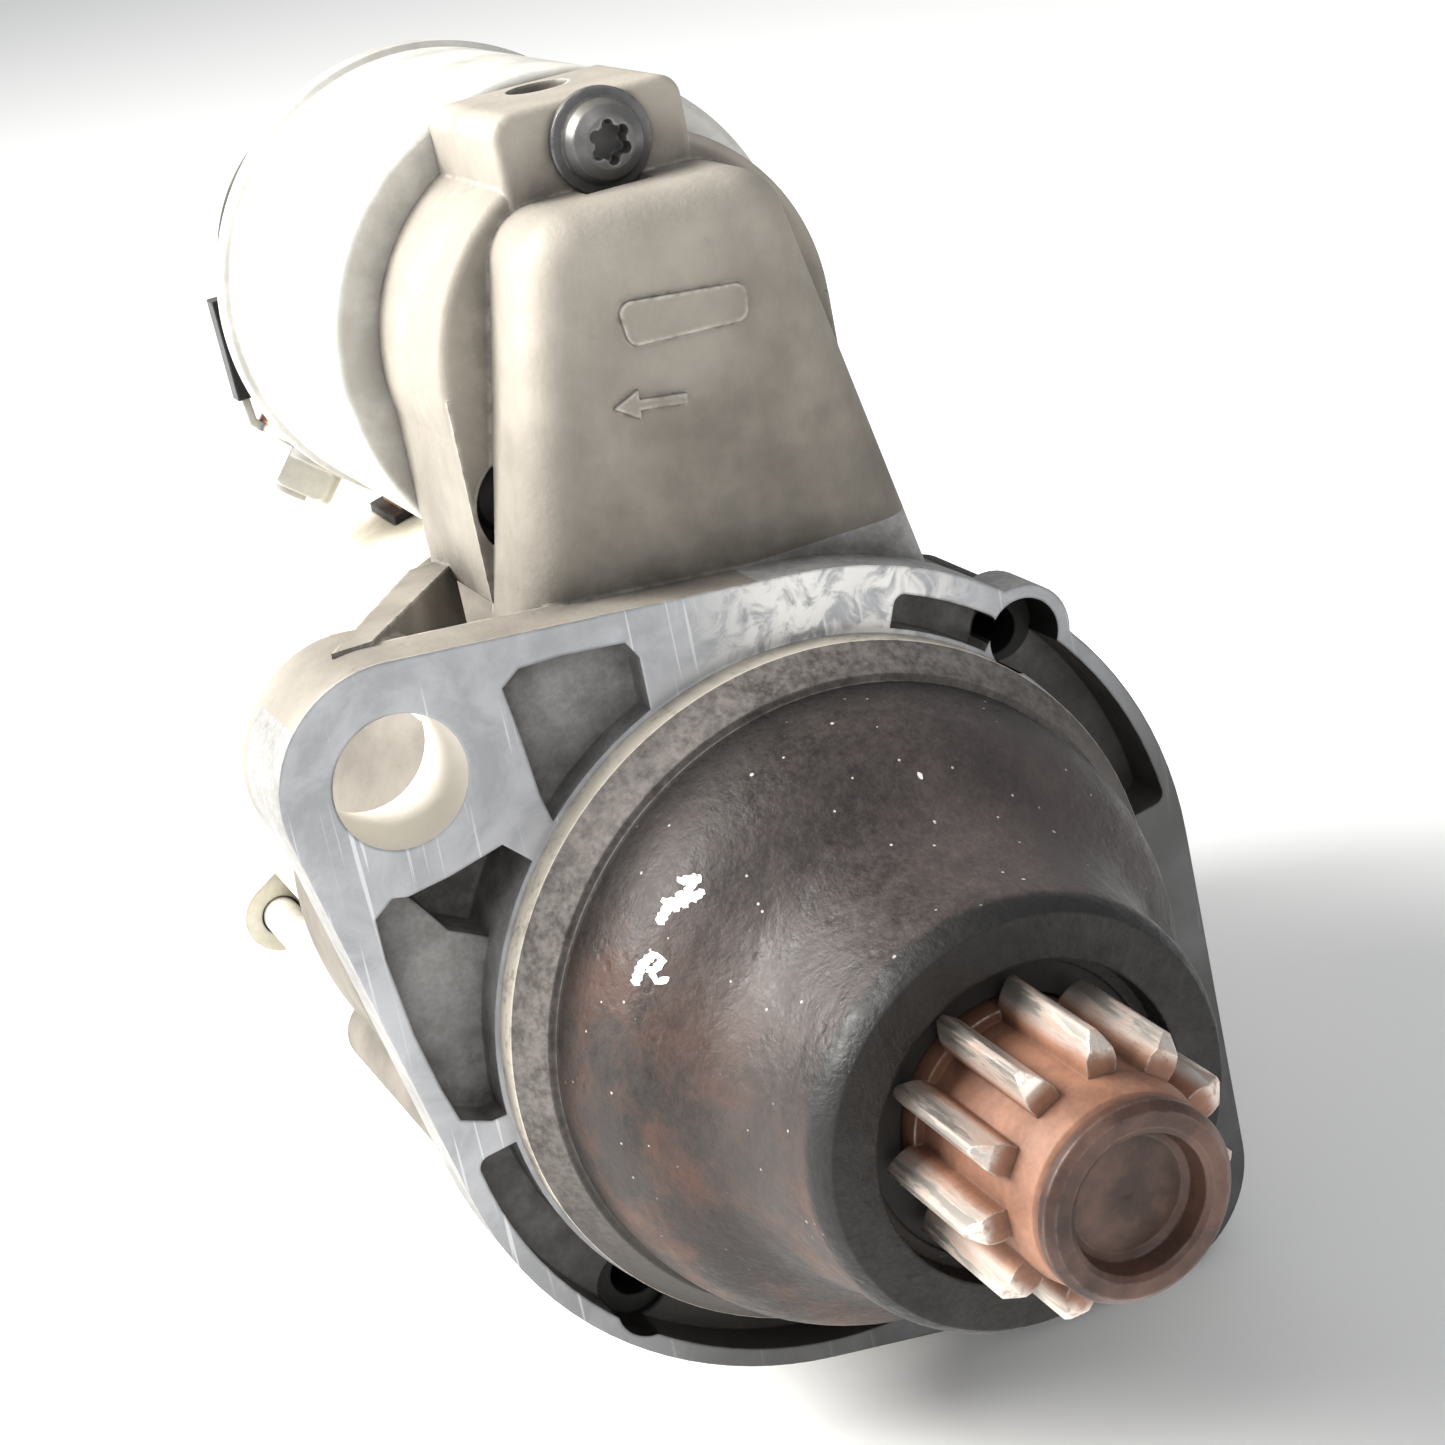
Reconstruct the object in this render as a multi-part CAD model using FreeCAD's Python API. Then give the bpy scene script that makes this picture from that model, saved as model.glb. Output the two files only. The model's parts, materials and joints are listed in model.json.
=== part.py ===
import FreeCAD, Part
import math
import os

# Starter motor with a planetary gear and a sliding pinion.
# Frame: Y is the pinion axis and the pinion points to -Y, the solenoid stands above it on +Z,
# and the mounting face of the flange is the plane y = 0. Millimetres.

# ---- fits and gaps ------------------------------------------------------------------------
RUN = 0.05            # radial clearance of a shaft in its bush
SLIDE = 0.10          # clearance each side of a sliding key, spline or brush
FREE = 0.4            # gap between neighbours that only pass each other
HOLE_EASE = 0.25      # radial room round a screw that passes through

# ---- mounting flange ----------------------------------------------------------------------
FLANGE_R = 43.4
FLANGE_T = 7.0
EAR_R = 11.9
# ears: distance of the hole from the pinion axis, degrees from +X towards +Z, (x, z) end of the web behind
EARS = [(53.1, 137.8, (-26.0, 14.0)), (50.6, -49.5, (20.0, -18.0))]
EAR_WEB_R = 10.0
EAR_BLOCK_T = 13.0
BOLT_RELIEF = 7.0          # bolt holes run on past the ears, through the foot of the side wall
BOLT_HOLE_R = 6.75
RIM_WALL = 2.0
POCKET_DEPTH = 4.0
POCKET_CORNER_R = 1.2
HOLLOW_FLOOR_T = 3.0
SPIGOT_R = 36.5
SPIGOT_LAND = 3.0
SPIGOT_MARGIN = 0.5   # ledge of the mounting face left round the spigot
# cored holes in the flange: distance from the axis, degrees, radius, radius of the rim bulge
CORED_HOLES = [(40.3, 46.0, 4.0, 5.4), (38.4, -134.0, 3.9, 5.0)]
CORED_DEPTH = 6.0
CORED_STEP_R = 2.7
CORED_STEP_SHIFT = 0.8
CORED_BOSS_SHIFT = 1.3
CORED_BOSS_R = 5.2
CORED_BOSS_Y = 22.0
# recesses of the mounting face: (x, z) corners; the side next to the spigot is trimmed round it
UPPER_POCKET = [(-27.6, 41.4), (-25.6, 42.8), (-21.2, 42.7), (-14.5, 41.9), (-13.4, 40.0), (-13.4, 30.0),
                (-22.0, 24.0), (-25.5, 26.3), (-26.3, 29.7), (-26.9, 36.2)]
SIDE_POCKET = [(-40.8, 24.2), (-42.9, 24.7), (-45.0, 23.2), (-45.0, 19.0), (-44.1, 10.4), (-42.8, 3.9),
               (-41.7, -0.1), (-38.6, -1.4), (-34.0, -1.2), (-30.0, 14.0), (-33.4, 16.6), (-37.0, 19.2),
               (-39.2, 22.4)]
EAR_HOLLOW = [(-31.1, 26.2), (-28.0, 23.0), (-29.8, 21.0), (-33.0, 15.4), (-35.6, 16.9), (-37.3, 17.8),
              (-39.7, 21.6), (-41.6, 24.3), (-36.9, 24.9)]
# ring-shaped recesses: outer radius, start and end in degrees, extra depth
RING_POCKETS = [(40.6, 51.0, 69.0, 0.0), (41.8, 8.0, 43.0, 2.0), (41.4, 187.0, 300.0, 1.0)]
# through bolts: distance from the axis, degrees
THROUGH_BOLTS = [(37.4, 30.0), (37.4, -150.0)]
THROUGH_BOLT_R = 2.5
THROUGH_BOLT_Y = 14.0
THROUGH_THREAD = 24.0
THROUGH_BOSS_R = 4.6

# ---- nose ---------------------------------------------------------------------------------
NOSE_Y = -41.0
NECK_R = 21.9
MOUTH_R = 15.8
MOUTH_DEPTH = 3.6
NOSE_WALL = 4.0

# ---- barrel of the drive housing ----------------------------------------------------------
BARREL_R = 32.0
GEARCASE_R = 38.5
BARREL_WALL = 3.5
GEARCASE_WALL = 6.0
GEARCASE_Y = 50.0
BARREL_END_Y = 66.0

# ---- lever housing and solenoid seat ------------------------------------------------------
SOLENOID_Z = 65.1
PAD_Y = 18.0
BOX_FRONT_Y = 6.0
BOX_TOP_Z = 82.0
BOX_TOP_HALF = 13.0
BOX_FLARE = 0.215     # growth of the half width per millimetre down
BOX_CORNER_R = 6.0
BOX_EDGE_R = 4.0
BOX_WALL = 3.6
MARK_HEIGHT = 0.45
MARK_PANEL = [(-5.8, 68.3), (6.9, 67.7), (7.2, 71.4), (-6.4, 72.8)]
MARK_ARROW = [(-8.7, 62.9), (-6.2, 61.2), (-6.1, 62.1), (-1.1, 61.4), (-1.0, 62.4), (-6.0, 63.1), (-5.9, 64.1)]
CORE_HALF = 14.5
PAD_R = 21.7
SEAT_Y = 36.8
PAD_HALF = 21.3
# solenoid screws: x, height over the solenoid axis, seat of the head
SOLENOID_SCREWS = [(-0.2, 21.1, PAD_Y - 0.2), (-15.2, -12.2, PAD_Y + 7.5), (15.2, -12.2, PAD_Y + 7.5)]
SCREW_BOSS_R = 6.0
SCREW_BOSS_Y = 22.0
TAB_LEFT = -11.0
TAB_RIGHT = 9.5
TAB_TOP_Z = 90.8
SCREW_R = 2.5
SCREW_HEAD_R = 4.2
SCREW_HEAD_T = 3.2

# ---- pinion and its sleeve ----------------------------------------------------------------
PINION_TEETH = 11
PINION_MODULE = 2.117
PINION_TIP_R = 13.8
PINION_ROOT_R = 9.9
PINION_PHASE = 17.8   # degrees of the first tooth from +X towards +Z
TOOTH_FRONT_Y = -54.0
TOOTH_BACK_Y = -38.4
HUB_R = 9.4
HUB_FRONT_Y = -57.8
CAP_T = 2.2
CAP_RECESS_R = 6.3
SLEEVE_R = 11.0
SLEEVE_WALL = 3.5
SLEEVE_REAR_WALL = 2.0
RACE_R = 12.5
STROKE = 12.0

# ---- overrunning clutch and drive sleeve --------------------------------------------------
SHELL_R = 23.5
SHELL_FRONT_Y = 1.0
SHELL_BACK_Y = 21.0
SHELL_COVER_T = 1.5
ROLLERS = 5
ROLLER_R = 3.0
COLLAR_R = 20.0
COLLAR_ROOT_R = 14.0
COLLAR_FLANGE_T = 3.0
PAD_PIN_R = 2.6
DRIVE_SLEEVE_R = 13.0
GROOVE_MID_Y = 30.0

# ---- output shaft and planetary gear ------------------------------------------------------
SHAFT_R = 6.0
SHAFT_FRONT_Y = -53.0
SPLINE_R = 8.5
SPLINE_ROOT_R = 7.4
SPLINES = 8
SPLINE_FRONT_Y = 5.0
JOURNAL_R = 9.0
PLATE_Y = 44.5
PLATE_T = 6.0
CARRIER_R = 22.5
CARRIER_T = 4.0
GEAR_MODULE = 1.1
SUN_TEETH = 12
PLANET_TEETH = 18
PLANETS = 3
GEAR_T = 8.5
PLANET_PIN_R = 3.0
GEAR_PRESSURE = 25.0
GEAR_BACKLASH = 0.16

# ---- motor --------------------------------------------------------------------------------
YOKE_R = 34.3
YOKE_WALL = 2.2
YOKE_LENGTH = 44.0
MAGNETS = 6
MAGNET_T = 5.4
AIR_GAP = 0.7
CORE_LENGTH = 20.0
ARMATURE_SHAFT_R = 4.5
ARMATURE_JOURNAL_R = 4.0
SLOTS = 15
COMMUTATOR_R = 14.0
COMMUTATOR_LENGTH = 11.5
BRUSH_WIDTH = 6.0
BRUSH_DEPTH = 8.0
BRUSH_LENGTH = 8.0
BRUSH_TRAVEL = 1.0
BOX_SHEET = 0.8
COVER_LENGTH = 13.0
COVER_WALL = 2.5
COVER_LUG_R = 5.0

# ---- solenoid -----------------------------------------------------------------------------
CAN_R = 26.4
CAN_WALL = 2.2
CAN_BACK_Y = 80.0
CAN_FRONT_T = 5.0
PLUNGER_R = 9.4
PLUNGER_STROKE = 9.0
PLUNGER_FRONT_Y = 38.5
GUIDE_WALL = 0.6
CORE_T = 12.0
CORE_FRONT_Y = 63.5
HOOK_ROD_R = 3.5
HOOK_END_R = 4.0
CAP_R = 24.6
CAP_LENGTH = 27.0
CAP_WALL = 2.6
BATTERY_THREAD_R = 4.0
BATTERY_SHANK_R = 4.8
BATTERY_HEAD_R = 5.2
BATTERY_THREAD_LENGTH = 17.5
MOTOR_THREAD_R = 3.0
TERMINAL_NUT_FLAT = 11.0
TERMINAL_NUT_T = 5.0

# ---- lever --------------------------------------------------------------------------------
PIVOT_Y = 24.0
PIVOT_PIN_R = 3.0
LEVER_T = 7.0
FORK_RING_T = 3.6

# ---- worked out from the above ------------------------------------------------------------
DRIVE_PER_PLUNGER = STROKE / PLUNGER_STROKE
PIVOT_Z = SOLENOID_Z * DRIVE_PER_PLUNGER / (1.0 + DRIVE_PER_PLUNGER)
LEVER_UP = SOLENOID_Z - PIVOT_Z
LEVER_REST = math.degrees(math.asin(PLUNGER_STROKE / 2.0 / LEVER_UP))
HOOK_Y = PIVOT_Y - PLUNGER_STROKE / 2.0
RING_TEETH = SUN_TEETH + 2 * PLANET_TEETH
GEAR_CENTRES = GEAR_MODULE * (SUN_TEETH + PLANET_TEETH) / 2.0
CARRIER_Y = PLATE_Y + PLATE_T + 1.0
GEAR_Y = CARRIER_Y + CARRIER_T + 0.8
CAVITY_R = GEARCASE_R - GEARCASE_WALL
YOKE_BACK_Y = BARREL_END_Y + YOKE_LENGTH
COVER_BACK_Y = YOKE_BACK_Y + COVER_LENGTH
ARMATURE_R = YOKE_R - YOKE_WALL - 0.2 - MAGNET_T - AIR_GAP
ARMATURE_Y = GEAR_Y + GEAR_T + 7.0
COMMUTATOR_Y = ARMATURE_Y + CORE_LENGTH + 4.8
BRUSH_MID_Y = COMMUTATOR_Y + COMMUTATOR_LENGTH / 2.0

# places and thicknesses of small parts
SEAL_R = 14.6
BEARING_R = 14.0
SEAL_BACK_Y = NOSE_Y + MOUTH_DEPTH + 6.0
PAD_LOW_Z = 44.0
LEVER_HUB_HALF = 7.0
PILOT_BUSH_R = 5.6
LUG_T = 5.0
REAR_BUSH_R = 6.5
BRUSH_ANGLES = [0.0, 90.0, 180.0, 270.0]
BOX_END_R = 31.4
CONTACT_ROD_R = 2.0
ROD_SOCKET = 4.0
SPRING_POCKET = 6.0
SPRING_POCKET_R = 5.6
LEVER_TOP_HALF = 3.0
CONTACT_Y = CORE_FRONT_Y + CORE_T + 0.8
CONTACT_SEAT_Y = CONTACT_Y + 1.8 + PLUNGER_STROKE + RUN
CAP_ROOM_R = 17.5
BATTERY_STUD_R = 11.5     # from the solenoid axis
MOTOR_STUD_Y = CAN_BACK_Y + 18.4
MOTOR_STUD_ANGLE = -130.0
STUD_SEAT_R = 24.2
LEAD_T = 1.4
LEAD_HALF = 3.5
LINK_T = 1.0
LINK_HALF = 0.8
SLEEVE_T = 0.5
GROMMET_EDGE = 1.5
LEAD_REACH = 12.0


def vec(x, y, z):
    return FreeCAD.Vector(x, y, z)


def polar(radius, degrees):
    angle = math.radians(degrees)
    return radius * math.cos(angle), radius * math.sin(angle)


def cyl(radius, y0, y1, x=0.0, z=0.0):
    """Cylinder along Y from y0 to y1."""
    return Part.makeCylinder(radius, y1 - y0, vec(x, y0, z), vec(0, 1, 0))


def tube(outer, inner, y0, y1, x=0.0, z=0.0):
    return cyl(outer, y0, y1, x, z).cut(cyl(inner, y0 - 1, y1 + 1, x, z))


def rod(radius, start, end):
    """Cylinder between two points."""
    return Part.makeCylinder(radius, (end - start).Length, start, end - start)


def block(x0, x1, y0, y1, z0, z1):
    return Part.makeBox(x1 - x0, y1 - y0, z1 - z0, vec(x0, y0, z0))


def fuse(shapes):
    first, rest = shapes[0], list(shapes[1:])
    return first.multiFuse(rest).removeSplitter() if rest else first


def lathe(outline, x=0.0, z=0.0):
    """Solid turned about the Y line through (x, z); the outline is (radius, y) corners."""
    corners = [vec(x + radius, y, z) for radius, y in outline]
    face = Part.Face(Part.makePolygon(corners + corners[:1]))
    return face.revolve(vec(x, 0, z), vec(0, 1, 0), 360)


def lathe_wire(edges, x=0.0, z=0.0):
    """Solid turned about the Y line through (x, z) from edges drawn in the XY plane."""
    face = Part.Face(Part.Wire(edges))
    face.translate(vec(x, 0, z))
    return face.revolve(vec(x, 0, z), vec(0, 1, 0), 360)


def prism(corners, y0, y1):
    """Straight prism along Y over (x, z) corners."""
    points = [vec(x, y0, z) for x, z in corners]
    return Part.Face(Part.makePolygon(points + points[:1])).extrude(vec(0, y1 - y0, 0))


def sector(inner, outer, start, end, y0, y1):
    """Piece of a ring between two angles."""
    ring = Part.makeCylinder(outer, y1 - y0, vec(0, y0, 0), vec(0, 1, 0), end - start)
    hole = Part.makeCylinder(inner, y1 - y0 + 2, vec(0, y0 - 1, 0), vec(0, 1, 0))
    piece = ring.cut(hole)
    # the kernel starts a cylinder about +Y at +Z and turns towards +X
    piece.rotate(vec(0, 0, 0), vec(0, 1, 0), 90.0 - end)
    return piece


def hull(x0, z0, r0, x1, z1, r1, y0, y1):
    """Two upright discs joined by their outer tangents."""
    span = math.hypot(x1 - x0, z1 - z0)
    along = math.atan2(z1 - z0, x1 - x0)
    side = math.acos((r0 - r1) / span)
    corners = []
    for centre_x, centre_z, radius, sign in ((x0, z0, r0, 1), (x1, z1, r1, 1), (x1, z1, r1, -1), (x0, z0, r0, -1)):
        angle = along + sign * side
        corners.append((centre_x + radius * math.cos(angle), centre_z + radius * math.sin(angle)))
    return fuse([prism(corners, y0, y1), cyl(r0, y0, y1, x0, z0), cyl(r1, y0, y1, x1, z1)])


def hexagon(across_flats, y0, y1, x=0.0, z=0.0):
    corner = across_flats / math.sqrt(3.0)
    return prism([(x + polar(corner, 60 * k)[0], z + polar(corner, 60 * k)[1]) for k in range(6)], y0, y1)


def turned(shape, degrees, x=0.0, z=0.0):
    """Copy turned from +X towards +Z about the Y line through (x, z)."""
    copy = shape.copy()
    copy.rotate(vec(x, 0, z), vec(0, 1, 0), -degrees)
    return copy


def spring(coil_r, wire_r, length, turns, base, direction):
    """Round-wire coil spring that stands on base and points along direction."""
    pitch = (length - 2 * wire_r) / turns
    helix = Part.makeHelix(pitch, length - 2 * wire_r, coil_r)
    circle = Part.Wire(Part.makeCircle(wire_r, vec(coil_r, 0, 0), vec(0, 1, 0)))
    coil = Part.Wire(helix).makePipeShell([circle], True, True)
    coil.translate(vec(0, 0, wire_r))
    turn = FreeCAD.Rotation(vec(0, 0, 1), direction)
    coil.Placement = FreeCAD.Placement(base, turn).multiply(coil.Placement)
    return coil


def involute(angle):
    return math.tan(angle) - angle


def gear_outline(teeth, module, tip_r, root_r, pressure, thickness, phase):
    """Corners of a spur gear with involute flanks; thickness is measured on the pitch circle."""
    pitch_r = teeth * module / 2.0
    base_r = pitch_r * math.cos(math.radians(pressure))
    half_pitch = thickness / 2.0 / pitch_r + involute(math.radians(pressure))
    steps = 6
    flank = []
    start = max(root_r, base_r)
    for k in range(steps + 1):
        radius = start + (tip_r - start) * k / steps
        flank.append((radius, half_pitch - involute(math.acos(min(1.0, base_r / radius)))))
    if root_r < base_r:
        flank.insert(0, (root_r, flank[0][1]))
    corners = []
    for tooth in range(teeth):
        middle = math.radians(phase) + 2 * math.pi * tooth / teeth
        corners += [(r * math.cos(middle - a), r * math.sin(middle - a)) for r, a in flank]
        corners += [(r * math.cos(middle + a), r * math.sin(middle + a)) for r, a in reversed(flank)]
    return corners


def save(name, shapes):
    solids = shapes if isinstance(shapes, list) else [shapes]
    shape = solids[0] if len(solids) == 1 else Part.makeCompound(solids)
    shape.exportStep("parts/" + name + ".step")


# ---- drive housing ------------------------------------------------------------------------

def nose_outline():
    """Outer skin of the nose from the spigot to the mouth, as (radius, y) points."""
    shoulder = [(33.0, -6.9), (32.8, -10.5), (31.9, -14.6), (30.0, -18.4), (27.4, -21.2), (25.0, -23.9),
                (23.5, -27.2), (22.6, -31.0)]
    neck = [(NECK_R, -35.5), (NECK_R - 0.5, NOSE_Y + 1.8), (NECK_R - 1.6, NOSE_Y)]
    return shoulder + neck


def nose():
    skin = [vec(r, y, 0) for r, y in nose_outline()]
    curve = Part.BSplineCurve()
    curve.interpolate(skin)
    front, back = skin[-1], skin[0]
    inner_front = vec(MOUTH_R - 2, front.y, 0)
    root = vec(MOUTH_R - 2, 4.0, 0)
    spigot = [vec(SPIGOT_R - 1.6, 4.0, 0), vec(SPIGOT_R, 4.0, 0), vec(SPIGOT_R, -SPIGOT_LAND, 0),
              vec(SPIGOT_R - 2.6, -6.4, 0), vec(back.x + 0.2, -6.4, 0), back]
    edges = [curve.toShape()]
    corners = [front, inner_front, root] + spigot
    edges += [Part.makeLine(a, b) for a, b in zip(corners, corners[1:])]
    return lathe_wire(edges)


def housing_cavity():
    """Everything inside the casting that turns about the pinion axis."""
    bore = BARREL_R - BARREL_WALL
    inside = lathe([(0, -18.0), (17.0, -18.0), (23.0, -16.2), (26.6, -13.0), (28.2, -8.5), (bore, 0.0),
                    (bore, PLATE_Y - 9.0), (CAVITY_R - 1.5, PLATE_Y - 2.0), (CAVITY_R - 1.5, PLATE_Y),
                    (CAVITY_R, PLATE_Y), (CAVITY_R, BARREL_END_Y + 1), (0, BARREL_END_Y + 1)])
    mouth = cyl(MOUTH_R, NOSE_Y - 1, NOSE_Y + MOUTH_DEPTH)
    return [inside, mouth, cyl(SEAL_R, NOSE_Y + MOUTH_DEPTH - 1, SEAL_BACK_Y), cyl(BEARING_R, SEAL_BACK_Y - 1, -17.0)]


def box_half(z):
    return BOX_TOP_HALF + BOX_FLARE * (BOX_TOP_Z - z)


def lever_box():
    """Tapered box over the lever, with round upper corners and a rounded front edge."""
    low = 24.0
    outline = [(-box_half(low), low), (box_half(low), low), (box_half(BOX_TOP_Z), BOX_TOP_Z),
               (-box_half(BOX_TOP_Z), BOX_TOP_Z)]
    body = prism(outline, BOX_FRONT_Y, PAD_Y + 0.5)
    tall = [e for e in body.Edges if e.Length < PAD_Y and e.CenterOfMass.z > BOX_TOP_Z - 1]
    body = body.makeFillet(BOX_CORNER_R, tall)
    front = [e for e in body.Edges if abs(e.CenterOfMass.y - BOX_FRONT_Y) < 0.01 and e.CenterOfMass.z > low + 1]
    return body.makeFillet(BOX_EDGE_R, front)


def solenoid_seat():
    pad = cyl(PAD_R, PAD_Y, SEAT_Y, 0, SOLENOID_Z)
    pad = pad.makeFillet(1.2, [e for e in pad.Edges if abs(e.CenterOfMass.y - PAD_Y) < 0.01])
    tab = block(TAB_LEFT, TAB_RIGHT, PAD_Y - 0.2, SEAT_Y, SOLENOID_Z + 8, TAB_TOP_Z)
    tab = tab.makeFillet(2.4, [e for e in tab.Edges if e.CenterOfMass.z > TAB_TOP_Z - 1 and e.Length > 15
                               and abs(e.CenterOfMass.y - PAD_Y) > 1])
    tab = tab.makeFillet(0.9, [e for e in tab.Edges if abs(e.CenterOfMass.y - PAD_Y + 0.2) < 0.01])
    pieces = [pad, tab, block(-CORE_HALF, CORE_HALF, PAD_Y - 2, SEAT_Y, 24, SOLENOID_Z),
              block(-PAD_HALF, PAD_HALF, PAD_Y, SEAT_Y, PAD_LOW_Z, SOLENOID_Z)]
    for x, rise, seat in SOLENOID_SCREWS[1:]:
        boss = cyl(SCREW_BOSS_R, SCREW_BOSS_Y, SEAT_Y, x, SOLENOID_Z + rise)
        pieces.append(boss.makeFillet(1.0, [e for e in boss.Edges if abs(e.CenterOfMass.y - SCREW_BOSS_Y) < 0.01]))
    return pieces


def side_gusset():
    """Slanted wall that ties the left ear to the solenoid seat; its top edge falls towards the back."""
    front_x, back_x = -41.5, -22.8
    low_z = 36.0
    plan = [vec(front_x, FLANGE_T - 1, low_z), vec(front_x + 4.2, FLANGE_T - 1, low_z),
            vec(back_x + 2.4, 32.0, low_z), vec(back_x + 2.4, SEAT_Y - 1.8, low_z),
            vec(back_x - 1.6, SEAT_Y - 1.8, low_z)]
    wall = Part.Face(Part.makePolygon(plan + plan[:1])).extrude(vec(0, 0, 16))
    high, low = 48.6, 44.6
    slope = [vec(-60, 0, high), vec(-60, SEAT_Y, low), vec(-60, SEAT_Y, 60), vec(-60, 0, 60)]
    return wall.cut(Part.Face(Part.makePolygon(slope + slope[:1])).extrude(vec(80, 0, 0)))


def lever_room():
    """Space for the lever, its fork and the plunger's hook."""
    front = BOX_FRONT_Y + BOX_WALL
    back = SEAT_Y - 2.6
    half = LEVER_HUB_HALF + FREE
    return [block(-half, half, front, back, 20.0, SOLENOID_Z + 6.5),
            cyl(PLUNGER_R + 1.0, front + 1.5, SEAT_Y + 1, 0, SOLENOID_Z)]


def recess(shape, depth):
    """Cut for the mounting face: rounded upright corners, trimmed round the spigot."""
    upright = [e for e in shape.Edges if abs(e.BoundBox.YLength - depth - 1) < 0.01 and e.BoundBox.XLength < 0.01]
    return shape.makeFillet(POCKET_CORNER_R, upright)


def flange_pockets():
    """Cored recesses between the rim and the spigot, open to the mounting face."""
    spigot = cyl(SPIGOT_R + SPIGOT_MARGIN, -2, EAR_BLOCK_T)
    cuts = [prism(UPPER_POCKET, -1, POCKET_DEPTH - 0.6), prism(SIDE_POCKET, -1, POCKET_DEPTH),
            prism(EAR_HOLLOW, -1, EAR_BLOCK_T - HOLLOW_FLOOR_T)]
    for outer, start, end, extra in RING_POCKETS:
        ring = sector(SPIGOT_R - 4, outer, start, end, -1, POCKET_DEPTH + extra)
        cuts.append(recess(ring, POCKET_DEPTH + extra))
    return [cut.cut(spigot) for cut in cuts]


def boss_web(distance, degrees, radius, y0, y1):
    """Boss with a web that reaches in to the barrel."""
    x, z = polar(distance, degrees)
    root_x, root_z = polar(0.7 * distance, degrees)
    return hull(x, z, radius, root_x, root_z, radius + 0.1, y0, y1)


def cast_marks():
    """Raised arrow and a blank raised panel on the front of the lever box."""
    y0, y1 = BOX_FRONT_Y - MARK_HEIGHT, BOX_FRONT_Y + 1.0
    panel = prism(MARK_PANEL, y0, y1)
    upright = [e for e in panel.Edges if e.BoundBox.YLength > 1.0 and e.BoundBox.XLength < 0.01]
    return [panel.makeFillet(1.2, upright), prism(MARK_ARROW, y0, y1)]


def drive_housing():
    solids = [cyl(FLANGE_R, 0, FLANGE_T)]
    ear_holes = []
    for distance, angle, web in EARS:
        x, z = polar(distance, angle)
        solids.append(hull(0, 0, FLANGE_R, x, z, EAR_R, 0, FLANGE_T))
        solids.append(hull(x, z, EAR_R, web[0], web[1], EAR_WEB_R, FLANGE_T - 1, EAR_BLOCK_T))
        ear_holes.append(cyl(BOLT_HOLE_R, -1, EAR_BLOCK_T + BOLT_RELIEF, x, z))
    solids.append(lathe([(0, 0.5), (BARREL_R, 0.5), (BARREL_R, GEARCASE_Y - 22), (GEARCASE_R, GEARCASE_Y),
                         (GEARCASE_R, BARREL_END_Y), (0, BARREL_END_Y)]))
    for distance, angle, hole, bulge in CORED_HOLES:
        x, z = polar(distance, angle)
        solids.append(cyl(bulge, 0, FLANGE_T, x, z))
        solids.append(boss_web(distance - CORED_BOSS_SHIFT, angle, CORED_BOSS_R, FLANGE_T - 1, CORED_BOSS_Y))
    for distance, angle in THROUGH_BOLTS:
        solids.append(boss_web(distance, angle, THROUGH_BOSS_R, FLANGE_T - 1, BARREL_END_Y))
    solids.append(side_gusset())
    solids.append(lever_box())
    solids += cast_marks()
    solids += solenoid_seat()
    solids.append(nose())
    cuts = housing_cavity() + lever_room() + flange_pockets() + ear_holes
    for distance, angle, hole, bulge in CORED_HOLES:
        cuts.append(cyl(hole, -1, CORED_DEPTH, *polar(distance, angle)))
        cuts.append(cyl(CORED_STEP_R, CORED_DEPTH - 1, CORED_BOSS_Y - 2, *polar(distance - CORED_STEP_SHIFT, angle)))
    for distance, angle in THROUGH_BOLTS:
        x, z = polar(distance, angle)
        thread_end = THROUGH_BOLT_Y + THROUGH_THREAD
        cuts.append(cyl(THROUGH_BOLT_R, THROUGH_BOLT_Y, thread_end, x, z))
        cuts.append(cyl(THROUGH_BOLT_R + HOLE_EASE, thread_end, BARREL_END_Y + 1, x, z))
    for x, rise, seat in SOLENOID_SCREWS:
        cuts.append(cyl(SCREW_R + HOLE_EASE, PAD_Y - 3, SEAT_Y + 1, x, SOLENOID_Z + rise))
        front = min(PAD_Y, seat - SCREW_HEAD_T) - 0.5
        cuts.append(cyl(SCREW_HEAD_R + 1.4, front, seat, x, SOLENOID_Z + rise))
    cuts.append(Part.makeCylinder(PIVOT_PIN_R, 4 * CORE_HALF, vec(-2 * CORE_HALF, PIVOT_Y, PIVOT_Z), vec(1, 0, 0)))
    cuts.append(Part.makeCylinder(3.2, 4.0, vec(-1.0, SEAT_Y - 6.5, TAB_TOP_Z - 3.0), vec(0, 0, 1)))
    body = solids[0].multiFuse(solids[1:])
    for cut in cuts:
        body = body.cut(cut)
    body = body.removeSplitter()
    return max(body.Solids, key=lambda s: s.Volume)


def nose_seal():
    """Lipped rubber seal behind the mouth; its lip stands just off the pinion sleeve."""
    front = NOSE_Y + MOUTH_DEPTH + 0.4
    lip = SLEEVE_R + FREE
    return lathe([(SEAL_R, front), (SEAL_R, SEAL_BACK_Y), (SEAL_R - 1.2, SEAL_BACK_Y), (SEAL_R - 1.2, front + 1.6),
                  (lip + 0.9, front + 2.4), (lip + 0.4, front + 3.6), (lip, front + 3.0), (lip, front)])


def nose_bearing():
    return tube(BEARING_R, SLEEVE_R + RUN, SEAL_BACK_Y + 0.4, -18.5)


# ---- pinion, clutch and drive -------------------------------------------------------------

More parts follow.
